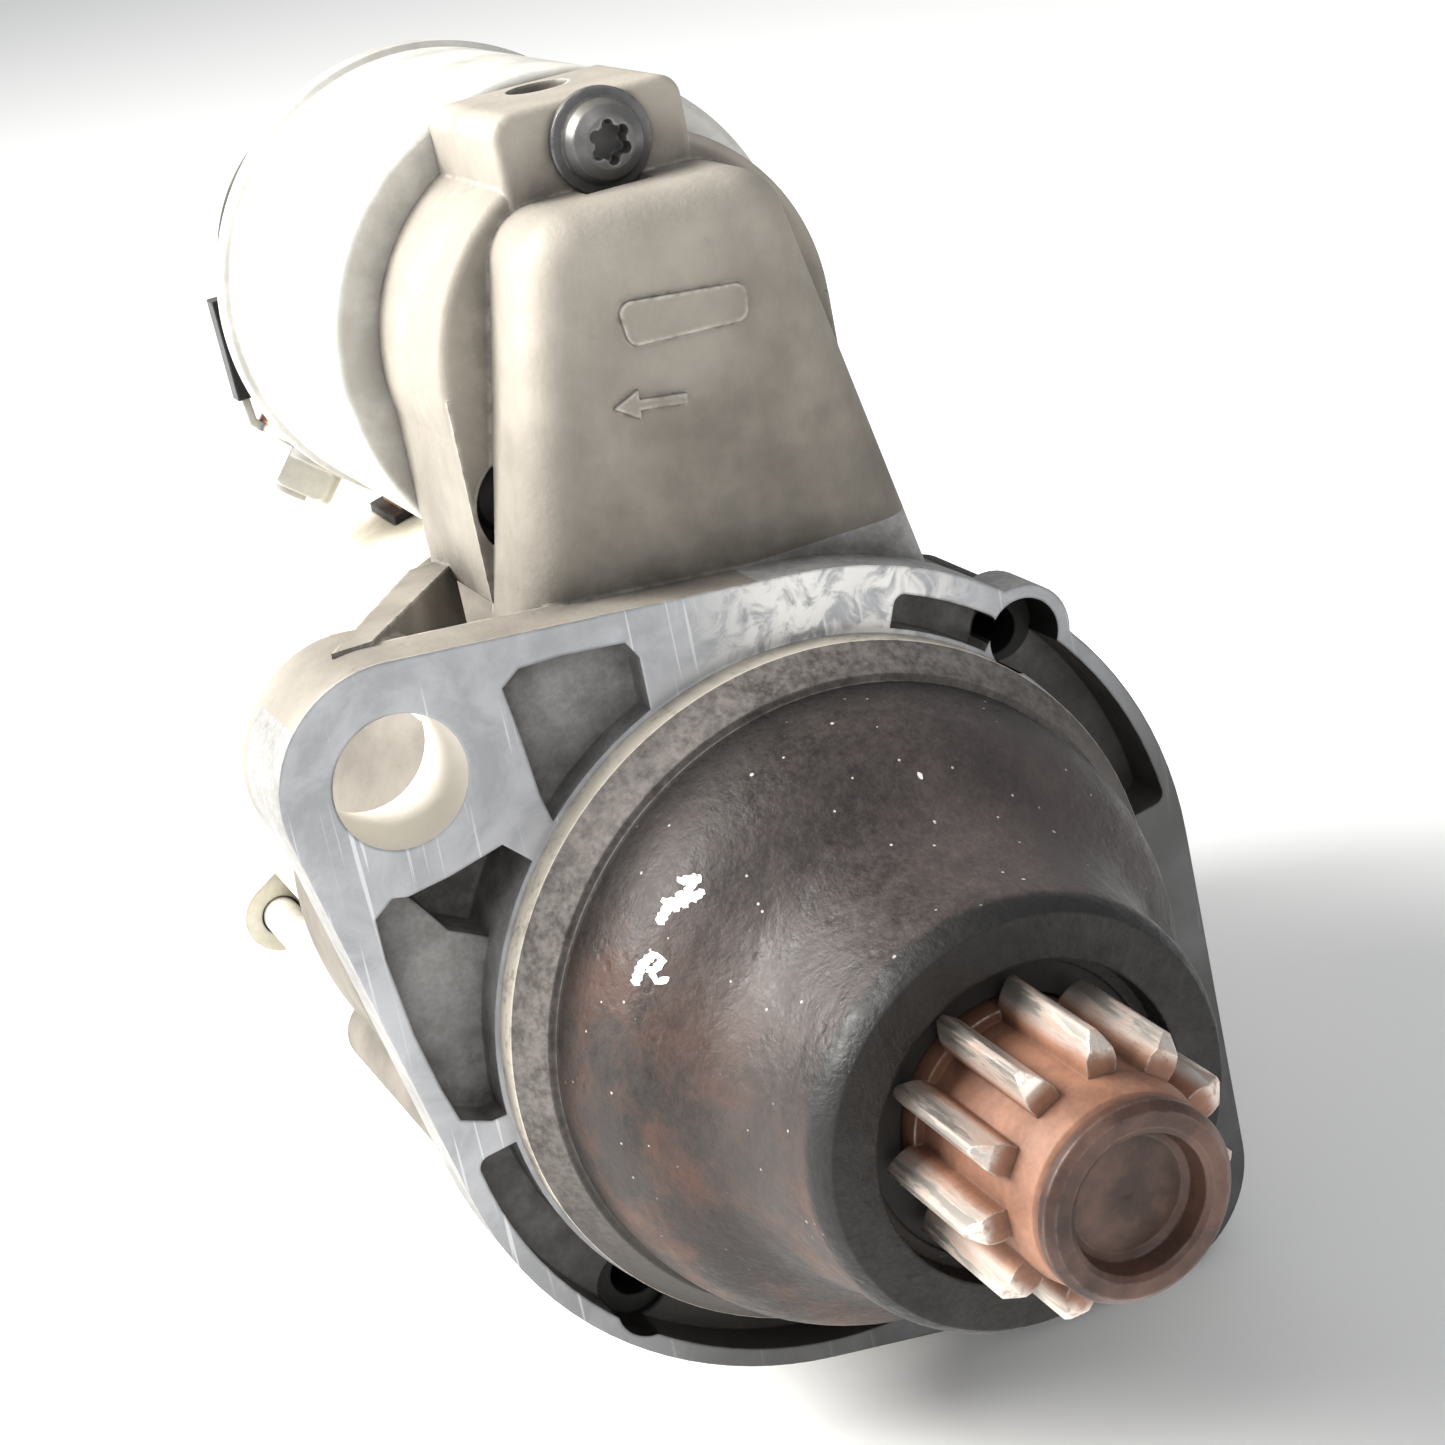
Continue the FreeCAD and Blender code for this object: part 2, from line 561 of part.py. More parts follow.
def pinion():
    thickness = math.pi * PINION_MODULE / 2.0 * 0.86
    outline = gear_outline(PINION_TEETH, PINION_MODULE, PINION_TIP_R, PINION_ROOT_R, 20.0, thickness, PINION_PHASE)
    teeth = prism(outline, TOOTH_FRONT_Y, TOOTH_BACK_Y)
    nib = 2.4
    lead = lathe([(0, TOOTH_FRONT_Y - 1), (PINION_TIP_R - nib, TOOTH_FRONT_Y - 1), (PINION_TIP_R - nib + 1.0,
                 TOOTH_FRONT_Y), (PINION_TIP_R + 0.5, TOOTH_FRONT_Y + 1.8), (PINION_TIP_R + 0.5, TOOTH_BACK_Y + 1),
                 (0, TOOTH_BACK_Y + 1)])
    teeth = teeth.common(lead)
    bore_front = SLEEVE_R - SLEEVE_WALL
    bore_rear = SLEEVE_R - SLEEVE_REAR_WALL
    step = SPLINE_FRONT_Y - STROKE - 7.0
    race_front, race_back = SHELL_FRONT_Y + 2.0, SHELL_BACK_Y - 3.0
    body = [teeth, lathe([(0, HUB_FRONT_Y), (HUB_R - 0.5, HUB_FRONT_Y), (HUB_R, HUB_FRONT_Y + 0.5),
                          (PINION_ROOT_R + 0.1, TOOTH_FRONT_Y - 0.3), (PINION_ROOT_R + 0.1, TOOTH_BACK_Y),
                          (0, TOOTH_BACK_Y)]),
            cyl(SLEEVE_R, TOOTH_BACK_Y - 0.5, race_front + 1), cyl(RACE_R, race_front, race_back)]
    return fuse(body).cut(fuse([cyl(bore_front, HUB_FRONT_Y - 1, step), cyl(bore_rear, step, race_back + 1)]))


def pinion_cap():
    """Pressed cup that closes the pinion; its flange covers the hub's front."""
    plug = SLEEVE_R - SLEEVE_WALL
    floor_y = HUB_FRONT_Y + 0.5
    front = HUB_FRONT_Y - CAP_T
    corners = [(0, floor_y - 0.1), (CAP_RECESS_R - 0.8, floor_y), (CAP_RECESS_R - 0.2, floor_y - 0.4),
               (CAP_RECESS_R + 0.3, front + 0.35), (CAP_RECESS_R + 0.9, front), (HUB_R - 0.8, front),
               (HUB_R, front + 0.8), (HUB_R, HUB_FRONT_Y - 0.5), (HUB_R - 0.5, HUB_FRONT_Y), (plug, HUB_FRONT_Y),
               (plug, HUB_FRONT_Y + 3.4), (plug - 0.9, HUB_FRONT_Y + 3.4), (plug - 0.9, HUB_FRONT_Y + 1.8),
               (0, HUB_FRONT_Y + 1.8)]
    return lathe(corners)


def pinion_bushes():
    bore = SLEEVE_R - SLEEVE_WALL
    step = SPLINE_FRONT_Y - STROKE - 7.0
    return [tube(bore, SHAFT_R + RUN, TOOTH_BACK_Y, TOOTH_BACK_Y + 9), tube(bore, SHAFT_R + RUN, step - 9, step)]


def clutch_shell():
    """Outer race with wedge pockets, the drive sleeve and the collar that the fork straddles."""
    shell = cyl(SHELL_R, SHELL_FRONT_Y + SHELL_COVER_T, SHELL_BACK_Y)
    shell = shell.makeChamfer(0.8, [e for e in shell.Edges if abs(e.CenterOfMass.y - SHELL_BACK_Y) < 0.01])
    groove = PAD_PIN_R + 0.2
    sleeve_back = GROOVE_MID_Y + groove + COLLAR_FLANGE_T
    front_flange = tube(COLLAR_R, 5, GROOVE_MID_Y - groove - COLLAR_FLANGE_T, GROOVE_MID_Y - groove)
    body = fuse([shell, cyl(COLLAR_ROOT_R, SHELL_BACK_Y - 0.5, sleeve_back), front_flange,
                 tube(COLLAR_R, 5, GROOVE_MID_Y + groove, sleeve_back)])
    race = fuse([cyl(RACE_R + RUN, SHELL_FRONT_Y, SHELL_BACK_Y - 2.5)] + clutch_pockets())
    return body.cut(race).cut(spline_body(SHELL_BACK_Y - 4, sleeve_back + 1, SLIDE))


def roller_mid():
    return RACE_R + ROLLER_R + RUN


def clutch_pockets():
    pockets = []
    y0, y1 = SHELL_FRONT_Y, SHELL_BACK_Y - 2.5
    for k in range(ROLLERS):
        angle = 360.0 / ROLLERS * k
        x, z = polar(roller_mid() + 0.2, angle)
        far_x, far_z = polar(roller_mid() + 1.0, angle + 22)
        pockets.append(hull(x, z, ROLLER_R + 0.3, far_x, far_z, ROLLER_R + 0.31, y0, y1))
    return pockets


def clutch_rollers():
    rollers = []
    for k in range(ROLLERS):
        x, z = polar(roller_mid() + 0.05, 360.0 / ROLLERS * k)
        rollers.append(cyl(ROLLER_R, SHELL_FRONT_Y + 2.2, SHELL_BACK_Y - 3.2, x, z))
    return rollers


def clutch_springs():
    springs = []
    middle = (SHELL_FRONT_Y + SHELL_BACK_Y) / 2.0
    for k in range(ROLLERS):
        angle = 360.0 / ROLLERS * k
        near = vec(*insert_y(polar(roller_mid() + 0.3, angle + 12.6), middle))
        far = vec(*insert_y(polar(roller_mid() + 1.0, angle + 29.5), middle))
        springs.append(spring(1.5, 0.3, (far - near).Length, 4, near, far - near))
    return springs


def insert_y(pair, y):
    return pair[0], y, pair[1]


def clutch_cover():
    lip = 0.9
    return lathe([(SLEEVE_R + FREE, SHELL_FRONT_Y), (SHELL_R + lip, SHELL_FRONT_Y), (SHELL_R + lip, SHELL_FRONT_Y + 5),
                  (SHELL_R, SHELL_FRONT_Y + 5), (SHELL_R, SHELL_FRONT_Y + SHELL_COVER_T),
                  (SLEEVE_R + FREE, SHELL_FRONT_Y + SHELL_COVER_T)])


# ---- output shaft and planetary gear ------------------------------------------------------

def spline_body(y0, y1, ease):
    """Splined bar; ease grows it into the matching hole."""
    bars = [cyl(SPLINE_ROOT_R + ease, y0, y1)]
    half = SPLINE_R * math.pi / SPLINES / 2.0
    for k in range(SPLINES):
        bar = block(0, SPLINE_R + ease, y0, y1, -half - ease, half + ease)
        bars.append(turned(bar, 360.0 / SPLINES * k))
    rounded = cyl(SPLINE_R + ease, y0, y1)
    return fuse(bars).common(rounded)


def output_shaft():
    journal_end = CARRIER_Y + 0.5
    body = fuse([cyl(SHAFT_R, SHAFT_FRONT_Y, SPLINE_FRONT_Y + 1), spline_body(SPLINE_FRONT_Y, PLATE_Y - 0.5, 0),
                 cyl(JOURNAL_R, PLATE_Y - 0.6, journal_end), cyl(CARRIER_R, CARRIER_Y, CARRIER_Y + CARRIER_T)])
    cuts = [cyl(PILOT_BUSH_R, PLATE_Y - 3, CARRIER_Y + CARRIER_T + 1)]
    for k in range(PLANETS):
        x, z = polar(GEAR_CENTRES, 360.0 / PLANETS * k)
        cuts.append(cyl(PLANET_PIN_R, CARRIER_Y - 1, CARRIER_Y + CARRIER_T + 1, x, z))
    return body.cut(fuse(cuts))


def planet_pins():
    pins = []
    for k in range(PLANETS):
        x, z = polar(GEAR_CENTRES, 360.0 / PLANETS * k)
        pins.append(cyl(PLANET_PIN_R, CARRIER_Y, GEAR_Y + GEAR_T + 0.3, x, z))
    return pins


def small_gear(teeth, phase, bore, x=0.0, z=0.0):
    thickness = math.pi * GEAR_MODULE / 2.0 - GEAR_BACKLASH / 2.0
    pitch_r = teeth * GEAR_MODULE / 2.0
    outline = gear_outline(teeth, GEAR_MODULE, pitch_r + 0.85 * GEAR_MODULE, pitch_r - 1.15 * GEAR_MODULE,
                           GEAR_PRESSURE, thickness, phase)
    gear = prism(outline, GEAR_Y, GEAR_Y + GEAR_T).cut(cyl(bore, GEAR_Y - 1, GEAR_Y + GEAR_T + 1))
    gear.translate(vec(x, 0, z))
    return gear


def planet(index):
    angle = 360.0 / PLANETS * index
    x, z = polar(GEAR_CENTRES, angle)
    half_tooth = 180.0 / PLANET_TEETH
    return small_gear(PLANET_TEETH, angle + half_tooth, PLANET_PIN_R + RUN, x, z)


def ring_gear():
    thickness = math.pi * GEAR_MODULE / 2.0 + GEAR_BACKLASH / 2.0
    pitch_r = RING_TEETH * GEAR_MODULE / 2.0
    space = gear_outline(RING_TEETH, GEAR_MODULE, pitch_r + 1.15 * GEAR_MODULE, pitch_r - 0.8 * GEAR_MODULE,
                         GEAR_PRESSURE, thickness, 180.0 / RING_TEETH)
    back = GEAR_Y + GEAR_T + 0.6
    outside = lathe([(0, PLATE_Y + PLATE_T), (CAVITY_R, PLATE_Y + PLATE_T), (CAVITY_R, BARREL_END_Y - 0.2),
                     (YOKE_R - YOKE_WALL, BARREL_END_Y - 0.2), (YOKE_R - YOKE_WALL, back), (0, back)])
    room = cyl(pitch_r + 1.2 * GEAR_MODULE, PLATE_Y + PLATE_T - 1, GEAR_Y - 0.5)
    return outside.cut(fuse([prism(space, PLATE_Y, back + 1), room]))


def bearing_plate():
    hub = JOURNAL_R + 2.5
    return tube(CAVITY_R, hub, PLATE_Y, PLATE_Y + PLATE_T)


def output_bush():
    return tube(JOURNAL_R + 2.5, JOURNAL_R + RUN, PLATE_Y, PLATE_Y + PLATE_T)


def gear_guard():
    """Thin plate that keeps gear grease out of the motor."""
    y0 = GEAR_Y + GEAR_T + 0.6
    return tube(YOKE_R - YOKE_WALL, ARMATURE_SHAFT_R + 1.5, y0, y0 + 1.5)


def pilot_bush():
    return tube(PILOT_BUSH_R, ARMATURE_JOURNAL_R + RUN, PLATE_Y, CARRIER_Y + CARRIER_T)


# ---- motor --------------------------------------------------------------------------------

def armature_shaft():
    rear = YOKE_BACK_Y + COVER_LENGTH - COVER_WALL - 1.0
    return fuse([cyl(ARMATURE_JOURNAL_R, PLATE_Y - 1, rear), cyl(ARMATURE_SHAFT_R, GEAR_Y, COMMUTATOR_Y + 12.5)])


def sun_gear():
    return small_gear(SUN_TEETH, 0.0, ARMATURE_SHAFT_R)


def slot_bar(index, y0, y1, ease):
    depth = 7.0
    bar = block(ARMATURE_R - depth, ARMATURE_R - 1.2, y0, y1, -1.5 - ease, 1.5 + ease)
    return turned(bar, 360.0 / SLOTS * index)


def laminations():
    core = tube(ARMATURE_R, ARMATURE_SHAFT_R, ARMATURE_Y, ARMATURE_Y + CORE_LENGTH)
    mouths = []
    for k in range(SLOTS):
        mouths.append(slot_bar(k, ARMATURE_Y - 1, ARMATURE_Y + CORE_LENGTH + 1, 0.0))
        mouth = block(ARMATURE_R - 2, ARMATURE_R + 1, ARMATURE_Y - 1, ARMATURE_Y + CORE_LENGTH + 1, -0.8, 0.8)
        mouths.append(turned(mouth, 360.0 / SLOTS * k))
    return core.cut(fuse(mouths))


def windings():
    end_turns = 3.6
    inner, outer = ARMATURE_R - 8.5, ARMATURE_R - 0.9
    back = ARMATURE_Y + CORE_LENGTH
    rings = [tube(outer, inner, ARMATURE_Y - end_turns, ARMATURE_Y), tube(outer, inner, back, back + end_turns)]
    bars = [slot_bar(k, ARMATURE_Y - 1, back + 1, 0.0) for k in range(SLOTS)]
    return fuse(rings + bars)


def commutator():
    """Copper segments, each with a riser at the winding end."""
    segments = []
    pitch = 360.0 / SLOTS
    for k in range(SLOTS):
        start = pitch * k + 0.9
        end = pitch * (k + 1) - 0.9
        bar = sector(COMMUTATOR_R - 4, COMMUTATOR_R, start, end, COMMUTATOR_Y, COMMUTATOR_Y + COMMUTATOR_LENGTH)
        riser = sector(COMMUTATOR_R - 4, COMMUTATOR_R + 2, start, end, COMMUTATOR_Y - 1.0, COMMUTATOR_Y + 0.6)
        segments.append(bar.fuse(riser))
    return segments


def commutator_hub():
    return tube(COMMUTATOR_R - 4, ARMATURE_SHAFT_R, COMMUTATOR_Y - 0.8, COMMUTATOR_Y + COMMUTATOR_LENGTH + 0.8)


def yoke():
    return tube(YOKE_R, YOKE_R - YOKE_WALL, BARREL_END_Y, YOKE_BACK_Y).cut(grommet_block(YOKE_R + 5))


def magnets():
    outer = YOKE_R - YOKE_WALL - 0.2
    length = CORE_LENGTH + 3.0
    pitch = 360.0 / MAGNETS
    y0 = ARMATURE_Y - 1.5
    return [sector(outer - MAGNET_T, outer, pitch * k + 5, pitch * (k + 1) - 5, y0, y0 + length)
            for k in range(MAGNETS)]


def rear_cover():
    end = COVER_BACK_Y
    inner = YOKE_R - COVER_WALL
    cup = lathe([(0, end), (YOKE_R - 3.5, end), (YOKE_R - 0.6, end - 2.6), (YOKE_R - 0.6, YOKE_BACK_Y + 2.0),
                 (YOKE_R, YOKE_BACK_Y + 2.0), (YOKE_R, YOKE_BACK_Y), (inner, YOKE_BACK_Y), (inner, end - 5.0),
                 (inner - 2.0, end - COVER_WALL), (0, end - COVER_WALL)])
    solids = [cup, cyl(9.5, YOKE_BACK_Y + 3.5, end - 1), cyl(11.5, end - 1, end + 1.2)]
    for distance, angle in THROUGH_BOLTS:
        x, z = polar(distance, angle)
        solids.append(hull(x, z, COVER_LUG_R, x * 0.8, z * 0.8, COVER_LUG_R + 0.01, YOKE_BACK_Y, YOKE_BACK_Y + LUG_T))
    body = fuse(solids).cut(lathe([(0, YOKE_BACK_Y - 1), (inner, YOKE_BACK_Y - 1), (inner, end - 5.0),
                                   (inner - 2.0, end - COVER_WALL), (9.5, end - COVER_WALL),
                                   (9.5, YOKE_BACK_Y + 3.5), (0, YOKE_BACK_Y + 3.5)]))
    cuts = [cyl(REAR_BUSH_R, YOKE_BACK_Y, end - COVER_WALL)]
    for distance, angle in THROUGH_BOLTS:
        x, z = polar(distance, angle)
        cuts.append(cyl(5.2, YOKE_BACK_Y + LUG_T, end + 2, x, z))
        cuts.append(cyl(THROUGH_BOLT_R + HOLE_EASE, YOKE_BACK_Y - 1, YOKE_BACK_Y + LUG_T + 1, x, z))
    return body.cut(fuse(cuts))


def rear_bush():
    return tube(REAR_BUSH_R, ARMATURE_JOURNAL_R + RUN, YOKE_BACK_Y + 3.5, YOKE_BACK_Y + COVER_LENGTH - COVER_WALL)


def through_bolts():
    bolts = []
    for distance, angle in THROUGH_BOLTS:
        x, z = polar(distance, angle)
        seat = YOKE_BACK_Y + LUG_T
        bolts.append(fuse([cyl(THROUGH_BOLT_R, THROUGH_BOLT_Y + 2, seat + 1, x, z), cyl(4.6, seat, seat + 0.8, x, z),
                           hexagon(8.0, seat + 0.8, seat + 4.6, x, z)]))
    return bolts


def brush_plate():
    y0 = COMMUTATOR_Y + COMMUTATOR_LENGTH + 0.6
    return tube(YOKE_R - YOKE_WALL, COMMUTATOR_R + 1.0, y0, y0 + 1.3)


def brush_y():
    return COMMUTATOR_Y + COMMUTATOR_LENGTH - 1.4 - BRUSH_DEPTH


def brush(angle):
    shape = block(COMMUTATOR_R - 0.6, COMMUTATOR_R + BRUSH_LENGTH, brush_y(), brush_y() + BRUSH_DEPTH,
                  -BRUSH_WIDTH / 2, BRUSH_WIDTH / 2)
    shape = shape.cut(cyl(COMMUTATOR_R + RUN, brush_y() - 1, brush_y() + BRUSH_DEPTH + 1))
    return turned(shape, angle)


def brush_boxes():
    boxes = []
    inner, outer = COMMUTATOR_R + 3.2, BOX_END_R
    half = BRUSH_WIDTH / 2 + SLIDE
    y0 = brush_y() - SLIDE
    y1 = COMMUTATOR_Y + COMMUTATOR_LENGTH + 0.6
    for angle in BRUSH_ANGLES:
        outside = block(inner, outer, y0 - BOX_SHEET, y1, -half - BOX_SHEET, half + BOX_SHEET)
        channel = block(inner - 1, outer - BOX_SHEET, y0, brush_y() + BRUSH_DEPTH + SLIDE, -half, half)
        boxes.append(turned(outside.cut(channel), angle))
    return boxes


def brush_springs():
    base = vec(COMMUTATOR_R + BRUSH_LENGTH, brush_y() + BRUSH_DEPTH / 2, 0)
    coil = spring(2.1, 0.35, BOX_END_R - BOX_SHEET - base.x, 4, base, vec(1, 0, 0))
    return [turned(coil, angle) for angle in BRUSH_ANGLES]


# ---- solenoid -----------------------------------------------------------------------------

def guide_r():
    return PLUNGER_R + RUN


def solenoid_can():
    """Steel cup: thick front plate with the plunger hole and three tapped holes, rolled lip behind."""
    z = SOLENOID_Z
    front_plate = SEAT_Y + CAN_FRONT_T
    cup = cyl(CAN_R, SEAT_Y, CAN_BACK_Y, 0, z)
    cup = cup.makeFillet(1.0, [e for e in cup.Edges if abs(e.CenterOfMass.y - SEAT_Y) < 0.01])
    cuts = [cyl(CAN_R - CAN_WALL, front_plate, CAN_BACK_Y + 1, 0, z),
            cyl(guide_r() + GUIDE_WALL, SEAT_Y - 1, front_plate + 1, 0, z)]
    for x, rise, seat in SOLENOID_SCREWS:
        cuts.append(cyl(SCREW_R, SEAT_Y - 1, front_plate + 1, x, z + rise))
    lip = lathe([(CAN_R - 0.5, CAN_BACK_Y - 3.0), (CAN_R + 0.7, CAN_BACK_Y - 2.4), (CAN_R + 0.7, CAN_BACK_Y + 0.8),
                 (CAN_R - 0.6, CAN_BACK_Y + 1.6), (CAP_R - 1.0, CAN_BACK_Y + 1.6), (CAP_R - 1.0, CAN_BACK_Y),
                 (CAN_R - 0.5, CAN_BACK_Y)], 0, z)
    return cup.cut(fuse(cuts)).fuse(lip).removeSplitter()


def plunger_guide():
    return tube(guide_r() + GUIDE_WALL, guide_r(), SEAT_Y + 0.2, CORE_FRONT_Y + 3.0, 0, SOLENOID_Z)


def coil_bobbin():
    z = SOLENOID_Z
    inner = guide_r() + GUIDE_WALL + 0.1
    y0, y1 = SEAT_Y + CAN_FRONT_T + 0.3, CORE_FRONT_Y + 3.0
    rim = CAN_R - CAN_WALL - 0.4
    barrel = tube(inner + 1.2, inner, y0, y1, 0, z)
    return fuse([barrel, tube(rim, inner, y0, y0 + 1.4, 0, z), tube(rim, inner, y1 - 1.4, y1, 0, z)])


def solenoid_winding():
    inner = guide_r() + GUIDE_WALL + 0.1 + 1.2
    y0, y1 = SEAT_Y + CAN_FRONT_T + 0.3 + 1.4, CORE_FRONT_Y + 3.0 - 1.4
    return tube(CAN_R - CAN_WALL - 1.0, inner, y0, y1, 0, SOLENOID_Z)


def solenoid_core():
    """Fixed iron core with its back plate; the contact rod runs through it."""
    z = SOLENOID_Z
    y0 = CORE_FRONT_Y
    nose_r = guide_r()
    plate_y = CORE_FRONT_Y + 3.2
    core = fuse([cyl(nose_r, y0, plate_y + 1, 0, z), cyl(CAN_R - CAN_WALL, plate_y, y0 + CORE_T, 0, z)])
    return core.cut(cyl(CONTACT_ROD_R + RUN, y0 - 1, y0 + CORE_T + 1, 0, z))


def plunger_back():
    return CORE_FRONT_Y - PLUNGER_STROKE - 0.3


def plunger():
    """Soft-iron plunger with a socket in front for the hook rod and a pocket behind for its spring."""
    z = SOLENOID_Z
    back = plunger_back()
    body = cyl(PLUNGER_R, PLUNGER_FRONT_Y, back, 0, z)
    return body.cut(fuse([cyl(HOOK_ROD_R, PLUNGER_FRONT_Y - 1, PLUNGER_FRONT_Y + ROD_SOCKET, 0, z),
                          cyl(CONTACT_ROD_R, back - SPRING_POCKET - ROD_SOCKET, back, 0, z),
                          cyl(SPRING_POCKET_R, back - SPRING_POCKET, back + 1, 0, z)]))


def hook_rod():
    """Rod with a slotted eye in front that holds the lever's top end."""
    z = SOLENOID_Z
    eye_front = HOOK_Y - HOOK_END_R - 2.0
    eye_back = HOOK_Y + HOOK_END_R + 2.0
    slot = HOOK_END_R + 0.2
    eye = block(-LEVER_TOP_HALF - 2.4, LEVER_TOP_HALF + 2.4, eye_front, eye_back, z - 4.2, z + 4.2)
    eye = eye.makeFillet(1.5, [e for e in eye.Edges if abs(e.CenterOfMass.y - eye_front) < 0.01])
    hole = block(-LEVER_TOP_HALF - 0.3, LEVER_TOP_HALF + 0.3, HOOK_Y - slot, HOOK_Y + slot, z - 9, z + 9)
    return fuse([eye, cyl(HOOK_ROD_R, eye_back - 0.5, PLUNGER_FRONT_Y + ROD_SOCKET, 0, z)]).cut(hole)


def plunger_spring():
    """Return spring between the plunger's pocket and the fixed core."""
    y0 = plunger_back() - SPRING_POCKET
    return spring(SPRING_POCKET_R - 1.1, 0.6, CORE_FRONT_Y - y0, 5, vec(0, y0, SOLENOID_Z), vec(0, 1, 0))


def contact_rod():
    front = plunger_back() - SPRING_POCKET - ROD_SOCKET
    return cyl(CONTACT_ROD_R, front, CONTACT_Y + 4.0, 0, SOLENOID_Z)


def contact_disc():
    z = SOLENOID_Z
    return tube(11.0, 3.4, CONTACT_Y, CONTACT_Y + 1.8, 0, z)


def contact_collar():
    """Insulating collar between the rod and the disc."""
    z = SOLENOID_Z
    return fuse([tube(3.4, CONTACT_ROD_R, CONTACT_Y - 0.4, CONTACT_Y + 3.0, 0, z),
                 tube(5.2, CONTACT_ROD_R, CONTACT_Y + 1.8, CONTACT_Y + 3.0, 0, z)])


# ---- terminals and leads ------------------------------------------------------------------


def solenoid_point(radius, side=0.0):
    """Point on the motor stud's line, radius from the solenoid axis, then side along the tangent."""
    x, z = polar(radius, MOTOR_STUD_ANGLE)
    side_x, side_z = polar(side, MOTOR_STUD_ANGLE + 90.0)
    return vec(x + side_x, MOTOR_STUD_Y, SOLENOID_Z + z + side_z)


def battery_place():
    x, z = polar(BATTERY_STUD_R, 40.0)
    return x, SOLENOID_Z + z


def solenoid_cap():
    """Moulded cap that closes the can and carries the terminals."""
    z = SOLENOID_Z
    y0, y1 = CAN_BACK_Y + 0.3, CAN_BACK_Y + CAP_LENGTH
    rim = CAN_R - CAN_WALL - 0.2
    foot = CORE_FRONT_Y + CORE_T
    cup = lathe([(0, y1), (CAP_R - 6.0, y1), (CAP_R - 4.2, y1 - 1.6), (CAP_R - 3.5, y0 + 5.0), (CAP_R - 1.4, y0 + 1.0),
                 (rim - 0.4, y0 + 1.0), (rim - 0.4, foot), (CAP_ROOM_R, foot), (CAP_ROOM_R, y1 - 4.5), (0, y1 - 4.5)],
                0, z)
    x, stud_z = battery_place()
    body = fuse([cup, cyl(8.2, y0 + 6, y1 + 1.5, x, stud_z),
                 rod(6.6, solenoid_point(CAP_ROOM_R + 2.0), solenoid_point(STUD_SEAT_R))])
    cuts = [cyl(CAP_ROOM_R, foot - 1, y1 - 4.5, 0, z), cyl(BATTERY_SHANK_R, y0, y1 + 3, x, stud_z),
            rod(MOTOR_THREAD_R, solenoid_point(CAP_ROOM_R - 4.0), solenoid_point(STUD_SEAT_R + 1))]
    return body.cut(fuse(cuts))


def battery_stud():
    """Threaded stud whose round head is one of the two contacts."""
    x, z = battery_place()
    y1 = CAN_BACK_Y + CAP_LENGTH
    seat = y1 + 1.5
    return fuse([cyl(BATTERY_HEAD_R, CONTACT_SEAT_Y, y1 - 4.5, x, z), cyl(BATTERY_SHANK_R, y1 - 5.0, seat, x, z),
                 cyl(BATTERY_THREAD_R, seat - 0.5, seat + BATTERY_THREAD_LENGTH, x, z)])


def motor_stud():
    """Threaded stud with a flat foot that is the other contact."""
    foot = turned(block(8.0, CAP_ROOM_R - 0.9, CONTACT_SEAT_Y, MOTOR_STUD_Y, -4.0, 4.0), MOTOR_STUD_ANGLE)
    foot.translate(vec(0, 0, SOLENOID_Z))
    return fuse([foot, rod(MOTOR_THREAD_R, solenoid_point(CAP_ROOM_R - 6.0), solenoid_point(STUD_SEAT_R + 8.2))])


def hex_nut(base, axis, flat, thickness, bore):
    """Flanged hexagon nut on a stud: stands on base and points along axis."""
    corner = flat / math.sqrt(3.0)
    points = [vec(*polar(corner, 60 * k), 0) for k in range(6)]
    nut = Part.Face(Part.makePolygon(points + points[:1])).extrude(vec(0, 0, thickness))
    crown = Part.makeCone(flat / 2.0 + 0.4 + thickness, flat / 2.0 + 0.4, thickness)
    nut = nut.common(crown).fuse(Part.makeCylinder(flat / 2.0 + 0.8, 1.2)).removeSplitter()
    nut = nut.cut(Part.makeCylinder(bore, 4 * thickness, vec(0, 0, -thickness)))
    nut.Placement = FreeCAD.Placement(base, FreeCAD.Rotation(vec(0, 0, 1), axis))
    return nut


def terminal_nut():
    """Nut that clamps the lead and the link on the motor stud."""
    axis = solenoid_point(1.0) - solenoid_point(0.0)
    seat = solenoid_point(STUD_SEAT_R + LEAD_T + LINK_T)
    return hex_nut(seat, axis, TERMINAL_NUT_FLAT, TERMINAL_NUT_T, MOTOR_THREAD_R)


def strip(points, thickness, y0, y1):
    """Flat strip on edge: follows (x, z) points, with round bends."""
    pieces = []
    half = thickness / 2.0
    for (x0, z0), (x1, z1) in zip(points, points[1:]):
        span = math.hypot(x1 - x0, z1 - z0)
        side_x, side_z = (z0 - z1) / span * half, (x1 - x0) / span * half
        pieces.append(prism([(x0 + side_x, z0 + side_z), (x1 + side_x, z1 + side_z), (x1 - side_x, z1 - side_z),
                             (x0 - side_x, z0 - side_z)], y0, y1))
    for x, z in points[1:-1]:
        pieces.append(cyl(half, y0, y1, x, z))
    return fuse(pieces)


